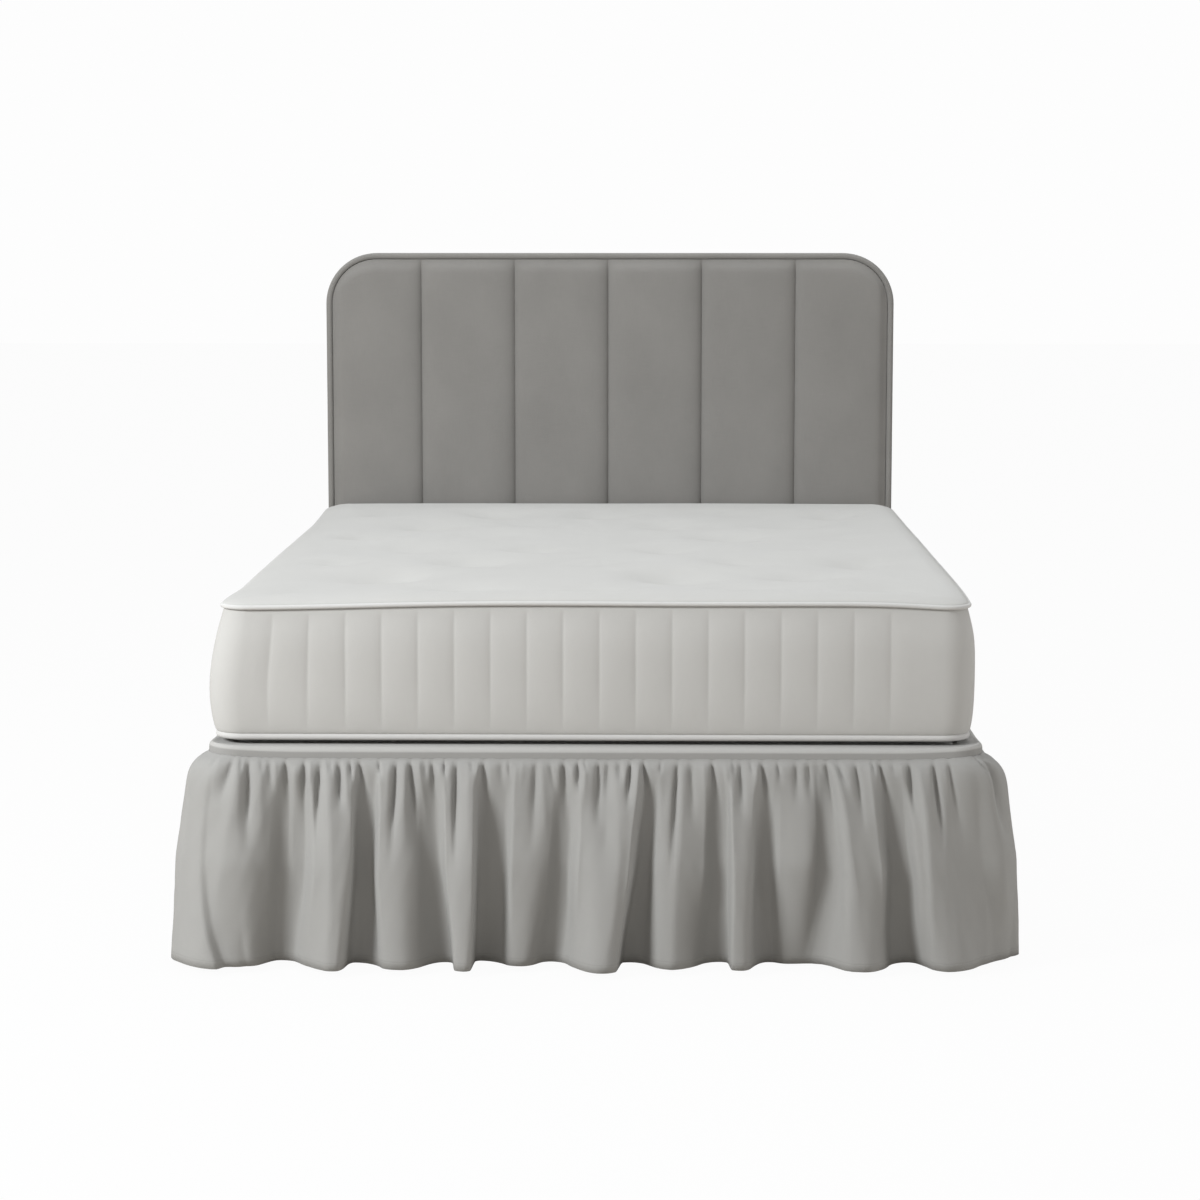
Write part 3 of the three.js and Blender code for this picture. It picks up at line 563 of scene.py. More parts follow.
def band_section(lift):
    """The band's section, from its strip on the base, over the edge and down the face."""
    angle = np.pi / 2 * np.arange(BAND_EDGE_STEPS + 1) / BAND_EDGE_STEPS
    strip, face = BAND_RETURN - BASE_EDGE_R, BAND_DROP - BASE_EDGE_R
    r, n = BASE_EDGE_R + lift, BAND_FLAT_STEPS
    flat = [[-BAND_RETURN + k * strip / n, lift] for k in range(n)]
    curve = [[-BASE_EDGE_R + r * math.sin(a), -BASE_EDGE_R + r * math.cos(a)] for a in angle]
    fall = [[lift, -BASE_EDGE_R - face * k / n] for k in range(1, n + 1)]
    return np.array(flat + curve + fall)


def band_skin(stations, lift, slack):
    out, up = band_section(lift).T[:, :, None]
    out_slack = slack * np.clip(-up / BAND_DROP, 0, 1) * (1 + BAND_RIPPLE(stations)[None, :])
    x, y = path_point(stations[None, :], out + out_slack)
    drawn_up = smoothstep((out + BAND_LIFT_START) / BAND_LIFT_START)
    return stacked(x, y, BASE_TOP + up + CORNER_LIFT * near_corner(stations[None, :]) * drawn_up)


def band():
    def straight(a, b):
        return np.linspace(a, b, max(2, round((b - a) / BAND_STEP)))

    corner = CORNER_ARC * np.arange(BAND_CORNER_STEPS + 1) / BAND_CORNER_STEPS
    stations = np.unique(np.round(np.concatenate([
        straight(-PATH_HALF, -SIDE_START), corner - SIDE_START,
        straight(-FRONT_HALF, FRONT_HALF), corner + FRONT_HALF,
        straight(SIDE_START, PATH_HALF)]), 6))
    front, back = band_skin(stations, GAP + CLOTH, BAND_SLACK), band_skin(stations, GAP, 0)
    uv = grid_uv(stations, lengths(band_section(GAP + CLOTH)))
    return cloth_sheet("band", front, uv, CLOTH, back)


# ---- rounded rectangles seen from above, anticlockwise from the foot's left corner ----
def plan_ring(edge, shrink, inset, shares, turns=12):
    """Points and outward normals. The edge is half its width, its ends and the radii there. It
    shrinks with its radii kept, and an inset makes them smaller. `shares` are the points between
    corners, as shares of each straight: foot, right side, head, left side."""
    half, foot, head, foot_r, head_r = edge
    half, foot, head = half - shrink, foot + shrink, head - shrink
    corners = [(-half + foot_r, foot + foot_r, foot_r, 180),
               (half - foot_r, foot + foot_r, foot_r, 270),
               (half - head_r, head - head_r, head_r, 0),
               (-half + head_r, head - head_r, head_r, 90)]
    points, normals = [], []
    for k, (x, y, r, start) in enumerate(corners):
        angle = np.radians(start + 90 * np.arange(turns + 1) / turns)
        turn = directions(angle)
        arc = np.array([x, y]) + (r - inset) * turn
        nx, ny, nr, _ = corners[(k + 1) % 4]
        end = np.array([nx, ny]) + (nr - inset) * turn[-1]
        share = np.asarray(shares[k])[:, None]
        points += [arc, mix(arc[-1], end, share)]
        normals += [turn, np.repeat(turn[-1:], len(share), 0)]
    return np.concatenate(points), np.concatenate(normals)


def even(*counts):
    """Shares that divide each straight into its count of equal steps."""
    return [np.arange(1, count) / count for count in counts]


# ---- deck ----
DECK_EDGE = [(0.6, 0), (0.2, 0.4), (0, 1.0), (0.2, 1.6), (0.6, 2.0)]  # mm: inset, below the top
DECK_SHRINKS = [0.6, 0.4, 0.2, 0.08, 0.02]  # its inner rings


def deck():
    margin = BAND_RETURN + GAP
    edge = (HALF_BASE - margin, FOOT_Y + margin, HEAD_Y - HEAD_CORNER_R,
            FOOT_CORNER_R - margin, HEAD_CORNER_R)
    inset = DECK_EDGE[0][0] * MM
    rows = [(shrink, inset, 0.0) for shrink in DECK_SHRINKS]
    rows += [(0.0, inset * MM, fall * MM) for inset, fall in DECK_EDGE]
    rows += [(shrink, inset, CLOTH) for shrink in DECK_SHRINKS[::-1]]
    shares = even(40, 60, 40, 60)
    rings, uv = [], []
    for shrink, inset, fall in rows:
        xy, _ = plan_ring(edge, shrink, inset, shares)
        rings.append(stacked(*xy.T, DECK_TOP - fall)[::-1])
        uv.append(xy[::-1])
    return closed_loft("deck", rings, uv)


# ---- mattress ----
MATTRESS_HALF = 0.695
MATTRESS_FOOT = FOOT_Y + 0.017
MATTRESS_HEAD = MATTRESS_FOOT + 1.908
MATTRESS_CORNER_R = 0.064
MATTRESS_EDGE = (MATTRESS_HALF, MATTRESS_FOOT, MATTRESS_HEAD, MATTRESS_CORNER_R, MATTRESS_CORNER_R)
MATTRESS_Z = DECK_TOP + GAP
MATTRESS_TURNS = 14
PIPING_R = 0.005
# Each piping's rise above the underside, and its width and height in radii.
PIPINGS = {"lower": (0.0142, 1.0, 1.22), "upper": (0.2595, 0.92, 0.84)}
PIPING_INSET = 0.0125
MATTRESS_CROWN = 0.062
# Rows from the crown's edge down to the underside, in mm: inset from the fullest
# outline, rise above the underside, and how much of the channels' relief shows, if any.
MATTRESS_PROFILE = [
    (52, 274.6), (40, 272.9), (30, 270.6), (22, 268.4), (16, 266), (13, 264), (12.6, 262.4),
    (14.4, 260.8), (16, 259.2), (16.8, 257.6), (16.2, 256), (15.2, 254), (14.2, 251.4),
    (12.8, 246.4, 0.2), (11.1, 240, 0.55), (8.6, 230, 0.9), (6.2, 220, 1), (3.4, 205, 1),
    (1.6, 190, 1), (0.4, 170, 1), (0, 145, 1), (0, 120, 1), (0.3, 98, 0.85), (0.9, 78, 0.65),
    (2, 60, 0.5), (3.3, 46, 0.4), (4.7, 36, 0.25), (6, 29, 0.1), (7.2, 24), (8.2, 21.6),
    (9.4, 19.8), (12, 18), (16, 16), (18.6, 13.6), (20, 11.2), (22, 8.8), (25, 6.4), (29, 4.2),
    (34, 2.4), (40, 1.1), (48, 0.4), (60, 0.1),
]
CHANNEL_PITCH = 0.066
CHANNEL_DEPTH = 0.003
CHANNEL_FULLNESS = (2.2, 12)  # powers of the hollow and of the pinch at its stitches
CHANNEL_PINCH = 0.2
CHANNEL_END = (0.2, 1.2)  # how the last hollow fades: its reach in pitches, and its power
CHANNEL_POINTS = [-22, -13, -6.5, -2.6, 0, 2.6, 6.5, 13, 22, 33]  # mm from a stitched line
# Each straight's first stitched line from its start, in metres, and how many lines it has.
CHANNELS = {"foot": (0.0455, 18), "side": (0.07, 26)}
PLAIN_STEPS = 60  # of a whole straight, where it has no channels
PLAIN_MARGINS = (0.02, 0.03)  # before the first stitched line, and past the last
STRAIGHT_MARGIN = 0.004
# The top's rings, by how far each lies inside the edge.
TOP_SHRINKS = [0.016, 0.034, 0.054, 0.076, 0.1] + [0.13 + 0.03 * k for k in range(17)]
TOP_SHRINKS += [0.622, 0.6295]
TOP_CROWN = 0.0046
TOP_CROWN_END = 0.2
TOP_RELIEF_START = 0.12
TOP_RELIEF_END = 0.15  # before the innermost ring, where the relief gives way to its mean level
TOP_LEVEL = -0.012
TOP_RISE = 0.27  # by which the top sinks with the edge
TUFT_PITCH = (0.27, 0.25)
TUFT_REACH = 0.072
TUFT_DEPTH = 0.022
TUFT_UNEVEN = (0.65, 0.7)  # mean share of the depth, and how far it strays
TUFT_CHANGE = waves(SEED + 10, 4, 6, 13)
TOP_WAVE = 0.008
TOP_SWELL = waves(SEED + 9, 4, 5, 11)
EDGE_WAVE = 0.0011
EDGE_SWAY = waves(SEED + 4, 5, 3, 14)
UPPER = (0.02, 0.2)  # the border's upper part: where it starts, over how far it grows
# How much wider the left side has settled: how far, about which rise and how high, and how far
# at its foot. It starts this far from the middle and grows over this width.
LEFT_BULGE = Group(full=0.009, rise=0.11, high=0.085, low=0.009, start=(0.45, 0.22))
# How far the top's edge has sunk: at each foot corner (place, depth, reach), and along the left
# side, between its ends.
FOOT_SAG = [(-0.68, 0.0095, 0.3), (0.68, 0.007, 0.12)]
LEFT_SAG = Group(deep=0.013, start=(0.54, 0.15), foot=(0.08, 0.3), head=(0, 0.4))
SAG_RISE = (0.1, 0.16)


def straight_places(length, first, lines):
    """Where a straight of the border has its columns: close about each stitched line."""
    start, end = first - PLAIN_MARGINS[0], first + CHANNEL_PITCH * (lines - 1) + PLAIN_MARGINS[1]
    plain = {round(length * k / PLAIN_STEPS, 5) for k in range(1, PLAIN_STEPS)
             if not start < length * k / PLAIN_STEPS < end}
    places = plain | {round(first + CHANNEL_PITCH * k + p * MM, 5)
                      for k in range(lines) for p in CHANNEL_POINTS}
    return np.array(sorted(p for p in places if STRAIGHT_MARGIN < p < length - STRAIGHT_MARGIN))


def pulled_in(places, first, lines):
    """0 at a channel's crown and 1 on its stitched lines; plain past the first and last."""
    k = (places - first) / CHANNEL_PITCH
    line = np.abs(1 - 2 * np.abs(k - np.round(k)))
    full, pinch = (line**power for power in CHANNEL_FULLNESS)
    crown = (1 - CHANNEL_PINCH) * full + CHANNEL_PINCH * pinch
    past = np.abs(k - np.clip(k, 0, lines - 1))
    return np.where(past > 0, np.exp(-(past / CHANNEL_END[0]) ** CHANNEL_END[1]), crown)


def top_relief(x, y):
    """Dimples in staggered rows, where the top is tufted, and the soft swells between them."""
    row = np.round((y - MATTRESS_FOOT) / TUFT_PITCH[1] - 0.5)
    across = x / TUFT_PITCH[0] - 0.5 * (row % 2)
    from_x = (across - np.round(across)) * TUFT_PITCH[0]
    from_y = y - MATTRESS_FOOT - (row + 0.5) * TUFT_PITCH[1]
    tuft = np.exp(-(from_x**2 + from_y**2) / TUFT_REACH**2)
    swell = TOP_SWELL(x, y, 1.3)
    uneven = TUFT_UNEVEN[0] + TUFT_UNEVEN[1] * TUFT_CHANGE(x, y, 1.0)
    return -TUFT_DEPTH * tuft * np.clip(uneven, 0.1, 1) + TOP_WAVE * (swell - 1)


def settle(x, rise):
    """How far the left side of the mattress stands out at each height."""
    full = math.exp(-(((rise - LEFT_BULGE.rise) / LEFT_BULGE.high) ** 2))
    share = LEFT_BULGE.full * full + LEFT_BULGE.low * (1 - eased(rise, *UPPER))
    return -share * eased(-x, *LEFT_BULGE.start)


def sunk(xy, rise):
    """How far the mattress has sunk at each place and height."""
    x, y = xy.T
    total = 0.0
    for corner, depth, reach in FOOT_SAG:
        total = total + depth * np.exp(-(np.hypot(x - corner, y - MATTRESS_FOOT) / reach) ** 2)
    ends = eased(y - MATTRESS_FOOT, *LEFT_SAG.foot) * eased(MATTRESS_HEAD - y, *LEFT_SAG.head)
    total = total + LEFT_SAG.deep * eased(-x, *LEFT_SAG.start) * ends
    return total * eased(rise, *SAG_RISE)


def border_height(xy, along, rise):
    """How high the border's line that was sewn at this rise lies now."""
    wave = EDGE_WAVE * EDGE_SWAY(along) * eased(rise, *UPPER)
    return MATTRESS_Z + rise + wave - sunk(xy, rise)


def mattress():
    foot = 2 * (MATTRESS_HALF - MATTRESS_CORNER_R)
    side = MATTRESS_HEAD - MATTRESS_FOOT - 2 * MATTRESS_CORNER_R
    turns, arc = np.arange(MATTRESS_TURNS + 1) / MATTRESS_TURNS, math.pi / 2 * MATTRESS_CORNER_R
    shares, relief, along, start = [], [], [], 0.0
    for length, channels in [(foot, CHANNELS["foot"]), (side, CHANNELS["side"])] * 2:
        places = straight_places(length, *channels)
        shares.append(places / length)
        relief += [0 * turns, pulled_in(places, *channels)]
        along += [start + arc * turns, start + arc + places]
        start += arc + length
    relief, along = np.concatenate(relief), np.concatenate(along)
    rows = [(MATTRESS_CROWN, shrink, None, 0) for shrink in TOP_SHRINKS[::-1]]
    rows += [(r[0] * MM, 0, r[1] * MM, r[2] if r[2:] else 0) for r in MATTRESS_PROFILE]
    rings, uv, fall, before = [], [], 0.0, None
    for inset, shrink, rise, share in rows:
        xy, normal = plan_ring(MATTRESS_EDGE, shrink, inset, shares, MATTRESS_TURNS)
        if rise is None:
            kept = smoothstep((TOP_SHRINKS[-1] - shrink) / TOP_RELIEF_END)
            tufted = kept * top_relief(*xy.T) + (1 - kept) * TOP_LEVEL
            crown = TOP_CROWN * (1 - (1 - min(1, shrink / TOP_CROWN_END)) ** 2)
            z = MATTRESS_Z + MATTRESS_PROFILE[0][1] * MM + crown
            z = z - sunk(xy, TOP_RISE) + smoothstep(shrink / TOP_RELIEF_START) * tufted
        else:
            xy = xy - normal * (CHANNEL_DEPTH * share * relief)[:, None]
            xy[:, 0] += settle(xy[:, 0], rise)
            z = border_height(xy, along, rise)
        ring = stacked(*xy.T, z)[::-1]
        fall += 0 if before is None else float(np.linalg.norm(ring[0] - before))
        before = ring[0]
        rings.append(ring)
        uv.append(stacked(along, -fall)[::-1])
    return closed_loft("mattress_body", rings, uv)


def piping(level):
    """The corded edge that a mattress's border and panels are sewn into."""
    rise, wide, tall = PIPINGS[level]
    xy, normal = plan_ring(MATTRESS_EDGE, 0, PIPING_INSET, even(150, 200, 150, 200), 16)
    xy[:, 0] += settle(xy[:, 0], rise)
    path = stacked(*xy.T, border_height(xy, lengths(xy), rise))
    across = wide * stacked(*normal.T, 0)
    return tube(f"piping_{level}", path, across, (0, 0, -tall), PIPING_R, 14)


# ---- headboard ----
PANEL_FRONT = HEAD_Y + HEADBOARD_PAD + 2 * GAP
HEADBOARD_HALF = 0.69
HEADBOARD_TOP = 1.29
HEADBOARD_CORNER_R = 0.123
ROLL_R = 0.0074
ROLL_FOOT = 0.0045
ROLL_SHARES = (0.985, 0.012)  # of its radius: the mean, and how far it strays
ROLL_END = 0.02
BOARD_BEVEL = 0.009
BOARD_CAP_INSET = 0.05
PAD_SEAM_CENTRE = -0.0032
PAD_SEAM_PITCH = 0.2272
PAD_GROOVE = 0.017
PAD_SEAM_WIDTH = 0.014
PAD_SEAM_SHAPE = 0.9
PAD_ROWS = 63  # below its rim
# The rows of the rim follow the arch, each this share of the height down.
PAD_RIM_ROWS = [0, 0.002, 0.005, 0.009, 0.014, 0.021, 0.03]
PAD_RIM_END = 0.045
# Its columns as shares of a channel, from a seam to the middle, and those at the shoulders.
PAD_COLUMNS = [0, 0.006, 0.014, 0.026, 0.045, 0.075, 0.12, 0.2, 0.3, 0.4, 0.5]
SHOULDER_ANGLES = np.linspace(0.1, 1.5, 14)
# How full the pad is at its rim and at its sides, and over how far it fills from each.
PAD_RIM, PAD_SIDE = (0.3, 0.028), (0.4, 0.022)
PAD_PUCKER, PAD_SWELL = 0.0008, 0.001
PAD_DEPTHS = (0.006, HEADBOARD_PAD + 0.0015)


def arch_top(x, half, top, radius):
    """The height of the board's outline at each place across it."""
    over = np.maximum(0, np.abs(x) - (half - radius))
    return top - radius + np.sqrt(np.maximum(0, radius**2 - over**2))


def headboard_pad():
    half = HEADBOARD_HALF - 2 * ROLL_R - GAP
    top = HEADBOARD_TOP - 2 * ROLL_R - GAP
    radius = HEADBOARD_CORNER_R - 2 * ROLL_R
    back = PANEL_FRONT - GAP
    seams = np.concatenate([[-half], PAD_SEAM_CENTRE + PAD_SEAM_PITCH * np.arange(-2, 3), [half]])
    inner = PAD_COLUMNS + [1 - t for t in PAD_COLUMNS]
    xs = {round(mix(a, b, t), 6) for a, b in zip(seams, seams[1:]) for t in inner}
    # the shoulders turn within the outer channels, so their columns lie closer together
    xs |= {side * round(half - radius * (1 - math.cos(a)), 6)
           for side in (-1, 1) for a in SHOULDER_ANGLES}
    xs = np.array(sorted(xs))
    downs = np.concatenate([PAD_RIM_ROWS, np.linspace(PAD_RIM_END, 1, PAD_ROWS)])
    pucker = waves(SEED + 6, 6, 40, 160)
    cushion = waves(SEED + 7, 4, 4, 11)
    front = np.empty((len(downs), len(xs), 3))
    arch = arch_top(xs, half, top, radius)
    for r, down in enumerate(downs):
        z = arch - (HEADBOARD_TOP if down < PAD_RIM_END else arch) * down + BASE_BOTTOM * down
        near = np.abs(xs[:, None] - seams).min(1)
        seam = np.exp(-(near / PAD_SEAM_WIDTH) ** PAD_SEAM_SHAPE)
        rim = smoothstep((arch - z) / PAD_RIM[1])
        side = smoothstep((half - np.abs(xs)) / PAD_SIDE[1])
        full = mix(PAD_RIM[0], 1, rim) * mix(PAD_SIDE[0], 1, side)
        depth = HEADBOARD_PAD - PAD_GROOVE * (1 - (1 - seam) * full)
        depth = depth + PAD_PUCKER * seam * pucker(z, xs)
        depth = depth + PAD_SWELL * (1 - seam) * rim * cushion(xs, z)
        front[r] = stacked(xs, back - np.clip(depth, *PAD_DEPTHS), z)
    flat = front.copy()
    flat[:, :, 1] = back
    return cloth_sheet("headboard_cushion", front, front[:, :, ::2].reshape(-1, 2), CLOTH, flat)


def headboard_path(inset, foot, steps=18, points=60):
    """Quarter circles and straights round the board, from its right foot to its left, with the
    directions out of it."""
    half, top, radius = HEADBOARD_HALF - inset, HEADBOARD_TOP - inset, HEADBOARD_CORNER_R - inset
    angle = np.pi / 2 * np.arange(steps + 1) / steps
    over, up = half - radius + radius * np.cos(angle), top - radius + radius * np.sin(angle)
    rise = np.linspace(foot, top - radius, points)[:-1]
    across = np.linspace(half - radius, -half + radius, points)[1:-1]
    side, level = np.full(len(rise), half), np.full(len(across), top)
    x = np.concatenate([side, over, across, -over[::-1], -side])
    z = np.concatenate([rise, up, level, up[::-1], rise[::-1]])
    turn = np.concatenate([0 * side, angle, 0 * level + np.pi / 2, np.pi / 2 + angle,
                           0 * side + np.pi])
    return stacked(x, z), directions(turn)


def upright(points, y):
    """Points of the board's plane, at a distance along the bed."""
    return np.insert(points, 1, y, axis=1)


def headboard_roll():
    """The padded roll round the board's front edge, with rounded ends."""
    points, out = headboard_path(ROLL_R, ROLL_FOOT)
    path = upright(points, PANEL_FRONT - GAP - ROLL_R)
    length = lengths(path)
    even_r, uneven_r = ROLL_SHARES
    radius = ROLL_R * (even_r + uneven_r * waves(SEED + 8, 6, 12, 60)(length))
    ends = np.minimum(length, length[-1] - length)
    radius = radius * np.sqrt(np.clip(1 - (1 - np.clip(ends / ROLL_R, 0, 1)) ** 2, ROLL_END, 1))
    return tube("headboard_edge_roll", path, upright(out, 0), (0, 1, 0), radius, 18, closed=False)


def headboard_board():
    """The upholstered board behind the pad, with softly rounded edges."""
    depth, bevel = HEADBOARD_PANEL, BOARD_BEVEL
    angle = np.pi / 2 * np.arange(6) / 5
    front = [(bevel - bevel * math.sin(a), bevel - bevel * math.cos(a)) for a in angle]
    section = front + [(i, depth - d) for i, d in front[::-1]]
    rings, uv = [], []
    for inset, deep in [(BOARD_CAP_INSET, 0.0)] + section + [(BOARD_CAP_INSET, depth)]:
        points, _ = headboard_path(inset, inset)
        foot = np.linspace(points[-1][0], points[0][0], 42)[1:-1]
        ring = np.concatenate([points, stacked(foot, inset)])
        rings.append(upright(ring, PANEL_FRONT + deep))
        uv.append(ring)
    return closed_loft("headboard_board", rings, uv)


# ---- legs ----
LEG_TOP_R, LEG_FOOT_R, LEG_INSET = 0.03, 0.022, 0.095
LEG_EDGE_R = 0.002
LEG_LEVELS = (0.1, 0.3, 0.5, 0.7, 0.9, 0.985)  # shares of its height
LEG_SIDES = 36


def leg(name, x, y):
    """A turned leg that tapers to a rounded foot."""
    height, taper = BASE_BOTTOM - GAP, LEG_TOP_R - LEG_FOOT_R
    profile = [(LEG_FOOT_R - LEG_EDGE_R + LEG_EDGE_R * math.sin(a),
                LEG_EDGE_R - LEG_EDGE_R * math.cos(a)) for a in np.linspace(0, np.pi / 2, 5)]
    profile += [(LEG_FOOT_R + taper * t, height * t) for t in LEG_LEVELS]
    profile += [(LEG_TOP_R - 0.0005, height - 0.0012), (LEG_TOP_R - LEG_EDGE_R, height)]
    angle = 2 * np.pi * np.arange(LEG_SIDES) / LEG_SIDES
    rings, uv = [], []
    for r, z in profile[::-1]:
        rings.append(stacked(x + r * np.cos(angle), y + r * np.sin(angle), z)[::-1])
        uv.append(stacked(angle * LEG_TOP_R, z))
    return closed_loft(name, rings, uv)


# ---- materials ----
# Streaks along the threads and slow changes of tone, as cycles a metre along both.
SLUB_RATES, TONE_RATES = (900.0, 28.0), (7.0, 5.0)
GRAIN_RATES = (60.0, 60.0, 5.0)
THREAD_TONE = 0.25  # share of the weave that shows as tone
BUMP = Group(thread=0.5, slub=1.2, deep=0.35)  # deep is a share of the thread
EDGE_FADE = 0.0015
STITCH_WIDTH, STITCH_PITCH, STITCH_PULL = 0.0007, 0.0032, 0.0022
STITCH_GAP = -0.4  # of the sine along the line, below which no thread shows
# The stitches' thread is darker in tone; the pulled-in cloth beside them is darkened too, as
# painted shade.
STITCH_TONE_AND_SHADE, STITCH_BUMP = (0.1, 0.03), (1.5, 4.0)  # of the thread, and of the pull beside it


class Nodes:
    """The nodes of a material or the world, and a short way to add and wire them."""

    def __init__(self, owner, shader):
        owner.use_nodes = True
        self.tree = owner.node_tree
        self.shader = self.tree.nodes[shader]

    def wire(self, node, **inputs):
        """Sets each input, by its number (i0) or name, or links it to another node's output."""
        for key, value in inputs.items():
            numbered = key[0] == "i" and key[1:].isdigit()
            socket = node.inputs[int(key[1:]) if numbered else key.replace("_", " ")]
            if isinstance(value, bpy.types.NodeSocket):
                self.tree.links.new(value, socket)
            else:
                socket.default_value = value
        return node.outputs

    def add(self, kind, settings=None, **inputs):
        node = self.tree.nodes.new(f"ShaderNode{kind}")
        for key, value in (settings or {}).items():
            setattr(node, key, value)
        return self.wire(node, **inputs)

    def math(self, operation, a, b=0.0):
        return self.add("Math", {"operation": operation}, i0=a, i1=b)[0]

    times = partialmethod(math, "MULTIPLY")
    plus = partialmethod(math, "ADD")
    minus = partialmethod(math, "SUBTRACT")

    def ramp(self, kind, value, start, end, low, high):
        return self.add("MapRange", {"interpolation_type": kind}, Value=value, From_Min=start,
                        From_Max=end, To_Min=low, To_Max=high)[0]

    def finish(self, colour, **bump):
        self.wire(self.shader, Base_Color=colour, Normal=self.add("Bump", **bump)[0])


def new_material(name, roughness, specular=0.2, sheen=0.0):
    material = bpy.data.materials.new(name)
    n = Nodes(material, "Principled BSDF")
    n.wire(n.shader, Roughness=roughness, Specular_IOR_Level=specular, Sheen_Weight=sheen,
           Sheen_Roughness=0.5)
    return material, n


def cloth_material(name, colour, thread, weave, slub, tone,
                   sheen=0.08, from_uv=True, edge=None, stitched=None):
    """A plain woven cloth: over-and-under threads, a slub along both, and slow changes of tone. An
    edge is (how far down the cloth it ends, how much it is lightened): a painted highlight on the
    cloth above that line. `stitched` is how far down the cloth a line of stitches runs; the cloth
    pulled in beside it is darkened with painted shade."""
    material, n = new_material(name, roughness=0.95, sheen=sheen)
    place = n.add("TexCoord")["UV" if from_uv else "Object"]
    split = n.add("SeparateXYZ", Vector=place)
    u, v = split[0], split[1 if from_uv else 2]
    over, under = (n.math("SINE", n.times(w, 2 * math.pi / thread)) for w in (u, v))
    threads = n.times(over, under)
    flat = n.add("CombineXYZ", X=u, Y=v)[0]

    def streaks(along_u, along_v, detail=3.0):
        scaled = n.add("VectorMath", {"operation": "MULTIPLY"}, i0=flat, i1=(along_u, along_v, 1))
        return n.add("TexNoise", {"noise_dimensions": "2D"}, Vector=scaled[0], Scale=1.0,
                     Detail=detail)["Fac"]

    warp, weft, slow = streaks(*SLUB_RATES), streaks(*SLUB_RATES[::-1]), streaks(*TONE_RATES, 4.0)
    mixed = n.plus(n.times(warp, 0.5), n.times(weft, 0.5))
    shade = n.plus(n.times(n.minus(mixed, 0.5), slub * 2), n.times(n.minus(slow, 0.5), tone * 2))
    lift = n.plus(n.plus(shade, n.times(threads, weave * THREAD_TONE)), 1.0)
    # painted highlight: the cloth above `ends` is made lighter, as if lit from above
    if edge:
        ends, painted_highlight = edge
        fade = n.ramp("SMOOTHSTEP", v, -ends - EDGE_FADE, -ends + EDGE_FADE, 0, painted_highlight)
        lift = n.plus(lift, fade)
    height = n.plus(n.times(threads, BUMP.thread), n.times(mixed, BUMP.slub))
    if stitched:
        line = n.add("Math", {"operation": "COMPARE"}, i0=v, i1=-stitched, i2=STITCH_WIDTH / 2)[0]
        along = n.math("SINE", n.times(u, 2 * math.pi / STITCH_PITCH))
        sewn = n.times(line, n.math("GREATER_THAN", along, STITCH_GAP))
        beside = n.math("ABSOLUTE", n.plus(v, stitched))
        pull = n.ramp("SMOOTHERSTEP", beside, 0, STITCH_PULL, 1, 0)
        # the thread's own darker tone, and painted shade where the cloth is pulled in beside it
        lift = n.minus(n.minus(lift, n.times(sewn, STITCH_TONE_AND_SHADE[0])), n.times(pull, STITCH_TONE_AND_SHADE[1]))
        height = n.plus(height, n.times(sewn, STITCH_BUMP[0]))
        height = n.minus(height, n.times(pull, STITCH_BUMP[1]))
    tint = n.add("VectorMath", {"operation": "SCALE"}, i0=colour, Scale=lift)
    n.finish(tint[0], Strength=weave, Distance=thread * BUMP.deep, Height=height)
    return material


def wood_material(name):
    material, n = new_material(name, roughness=0.45)
    stretched = n.add("Mapping", Vector=n.add("TexCoord")["Object"], Scale=GRAIN_RATES)
    grain = n.add("TexNoise", Vector=stretched[0], Scale=1.0, Detail=6.0, Distortion=0.6)["Fac"]
    brown = n.add("ValToRGB", Fac=grain)[0]
    dark, light = brown.node.color_ramp.elements
    dark.position, dark.color = 0.35, (0.018, 0.01, 0.006, 1)
    light.position, light.color = 0.7, (0.07, 0.04, 0.022, 1)
    n.finish(brown, Strength=0.15, Distance=0.001, Height=grain)
    return material


SKIRT = cloth_material("skirt_cotton", (0.322, 0.317, 0.305), 0.0008, 0.25, 0.05, 0.05,
                       stitched=SEAM_Z - GAP - HEM_Z - HEM_DEPTH)
# The band's strip on the base and its rounded top edge carry a painted highlight.
BAND = cloth_material("band_cotton", (0.3, 0.295, 0.284), 0.0008, 0.25, 0.05, 0.03,
                      edge=(0.0565, 0.4))
DECK = cloth_material("deck_cotton", (0.42, 0.415, 0.4), 0.001, 0.3, 0.06, 0.04)
MATTRESS = cloth_material("mattress_knit", (0.478, 0.47, 0.452), 0.0014, 0.25, 0.03, 0.03, 0.15)
PIPING = cloth_material("piping_tape", (0.56, 0.553, 0.54), 0.0009, 0.25, 0.04, 0.03)
PAD = cloth_material("headboard_weave", (0.213, 0.205, 0.193), 0.0011, 0.35, 0.1, 0.1, 0.2)
BOARD = cloth_material("headboard_back", (0.205, 0.196, 0.184), 0.0011, 0.35, 0.1, 0.08, 0.2)
BASE = cloth_material("base_cover", (0.12, 0.117, 0.11), 0.0012, 0.4, 0.08, 0.06, from_uv=False)
WOOD = wood_material("leg_wood")


def dress(obj, material, node):
    obj.data.materials.append(material)
    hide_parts(node)
    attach(obj, "root")
    return obj


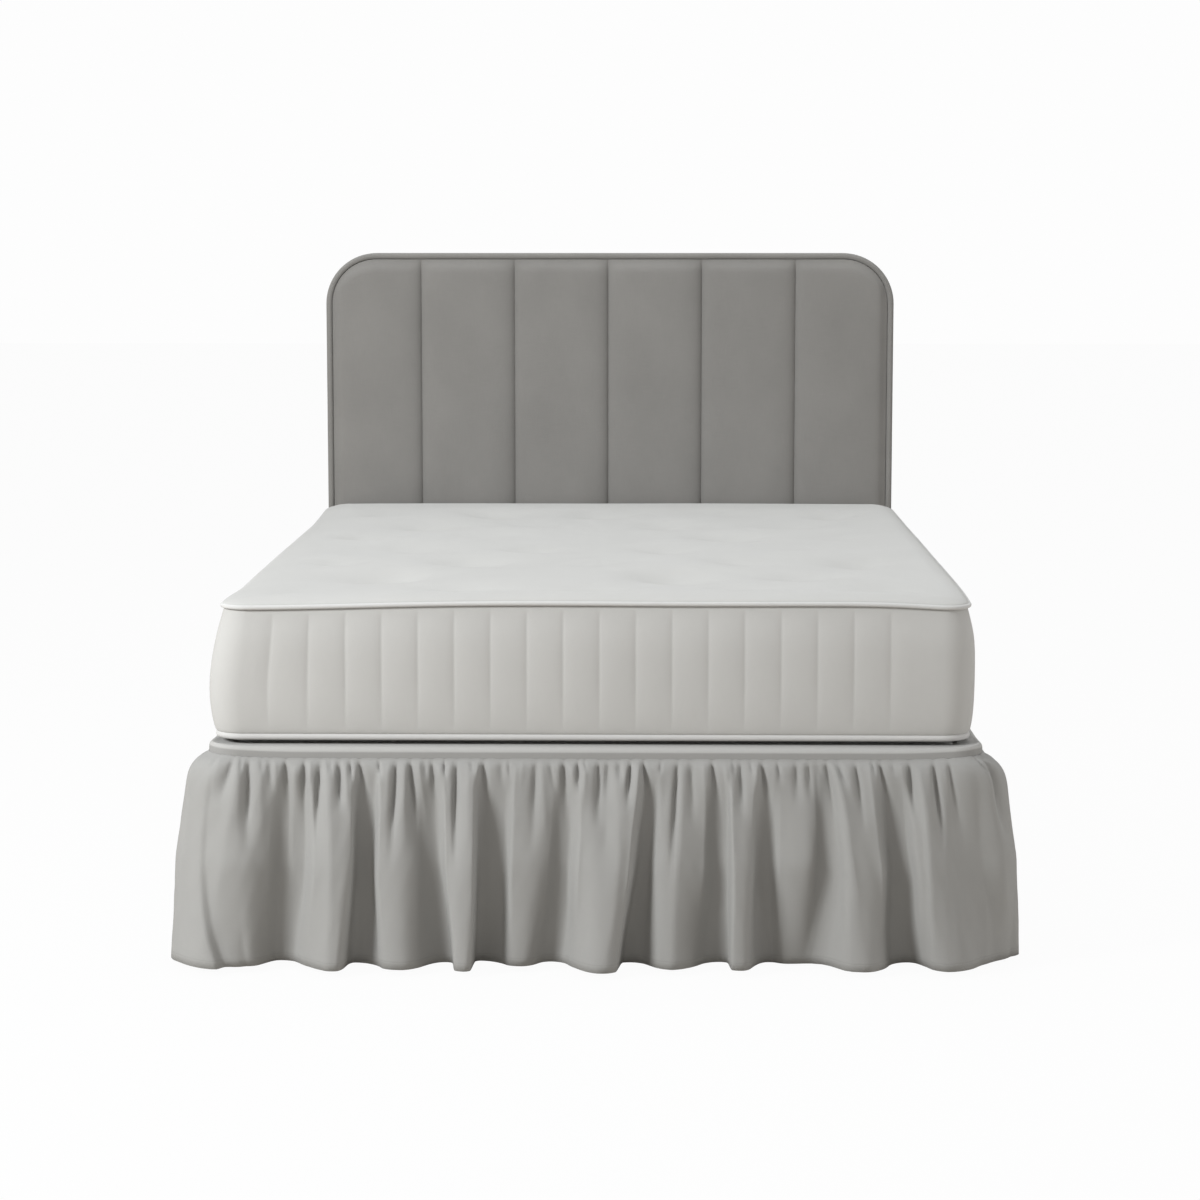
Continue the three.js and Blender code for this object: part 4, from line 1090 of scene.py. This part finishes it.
ruffle_piece = dress(ruffle(), SKIRT, "skirt_ruffle")
band_piece = dress(band(), BAND, "skirt_band")
deck_piece = dress(deck(), DECK, "skirt_deck")
mattress_piece = dress(mattress(), MATTRESS, "mattress")
for level in PIPINGS:
    dress(piping(level), PIPING, f"mattress_piping_{level}")
pad_piece = dress(headboard_pad(), PAD, "headboard_pad")
dress(headboard_roll(), PAD, "headboard_roll")
dress(headboard_board(), BOARD, "headboard_panel")
leg_x, leg_y = HALF_BASE - LEG_INSET, FOOT_Y + LEG_INSET
leg_rows = {"foot": leg_y, "middle": (FOOT_Y + HEAD_Y) / 2, "head": HEAD_Y - LEG_INSET}
for row, y in leg_rows.items():
    for side, x in (("left", -leg_x), ("right", leg_x)):
        dress(leg(f"bed_leg_{row}_{side}", x, y), WOOD, f"leg_{row}_{side}")
base_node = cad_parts["base"]
base_node.data.materials.clear()
base_node.data.materials.append(BASE)


# ---- stage, light and camera ----
FLOOR_HALF = 30
CAMERA_PITCH, CAMERA_YAW = 0.1226, 0.0171
WORLD_LIGHT, WORLD_SEEN = 0.46, 0.983


def stage_floor(name, z, colour, glow, seen):
    """A plain floor. One is seen by the camera alone, so that the white under the bed doesn't
    light the skirt from below; the other, just under it, gives the real floor's bounce."""
    corners = [(FLOOR_HALF * x, FLOOR_HALF * y, z) for x, y in ((-1, -1), (1, -1), (1, 1), (-1, 1))]
    obj = add_object(name, corners, [(0, 1, 2, 3)])
    material, n = new_material(name, roughness=1.0, specular=0.0)
    n.wire(n.shader, Base_Color=(*colour, 1), Emission_Color=(1, 1, 1, 1), Emission_Strength=glow)
    obj.data.materials.append(material)
    obj.visible_camera = seen
    obj.visible_diffuse = obj.visible_glossy = obj.visible_shadow = not seen


def area_light(name, place, aim, side, watts, colour=(1, 1, 1)):
    """A square lamp of one side length, turned towards `aim`."""
    data = bpy.data.lights.new(name, "AREA")
    data.size = side
    data.energy = watts
    data.color = colour
    obj = linked(name, data)
    obj.location = place
    x, y, z = np.subtract(aim, place)
    pitch, yaw = math.atan2(z, math.hypot(x, y)) + math.pi / 2, math.atan2(y, x) - math.pi / 2
    obj.rotation_euler = (pitch, 0, yaw)


stage_floor("floor_seen", 0.0, (0.02, 0.02, 0.02), 0.962, True)
stage_floor("floor_bounce", -0.002, (0.54, 0.505, 0.46), 0.0, False)
area_light("key", (-3.9, -3.4, 2.8), (0, -0.7, 0.5), 1.3, 256, (0.955, 0.98, 1.0))
area_light("overhead", (0, 0.3, 4.4), (0, 0.1, 0.6), 3.4, 86, (0.93, 0.975, 1.0))
area_light("fill", (4.2, -1.9, 1.3), (0.3, -0.8, 0.45), 1.5, 40)

world = bpy.data.worlds.new("studio")
studio = Nodes(world, "Background")
rays = studio.add("LightPath")
strength = studio.ramp("LINEAR", rays["Is Camera Ray"], 0, 1, WORLD_LIGHT, WORLD_SEEN)
studio.wire(studio.shader, Color=(1, 1, 1, 1), Strength=strength)
bpy.context.scene.world = world

camera_data = bpy.data.cameras.new("camera")
camera_data.lens, camera_data.sensor_width = 89.565, 36
camera = linked("camera", camera_data)
camera.location = (0.1015, -6.3083, 1.3405)
camera.rotation_euler = (math.pi / 2 - CAMERA_PITCH, 0, CAMERA_YAW)
bpy.context.scene.camera = camera
bpy.context.scene.view_settings.view_transform = "Standard"

bpy.context.view_layer.update()
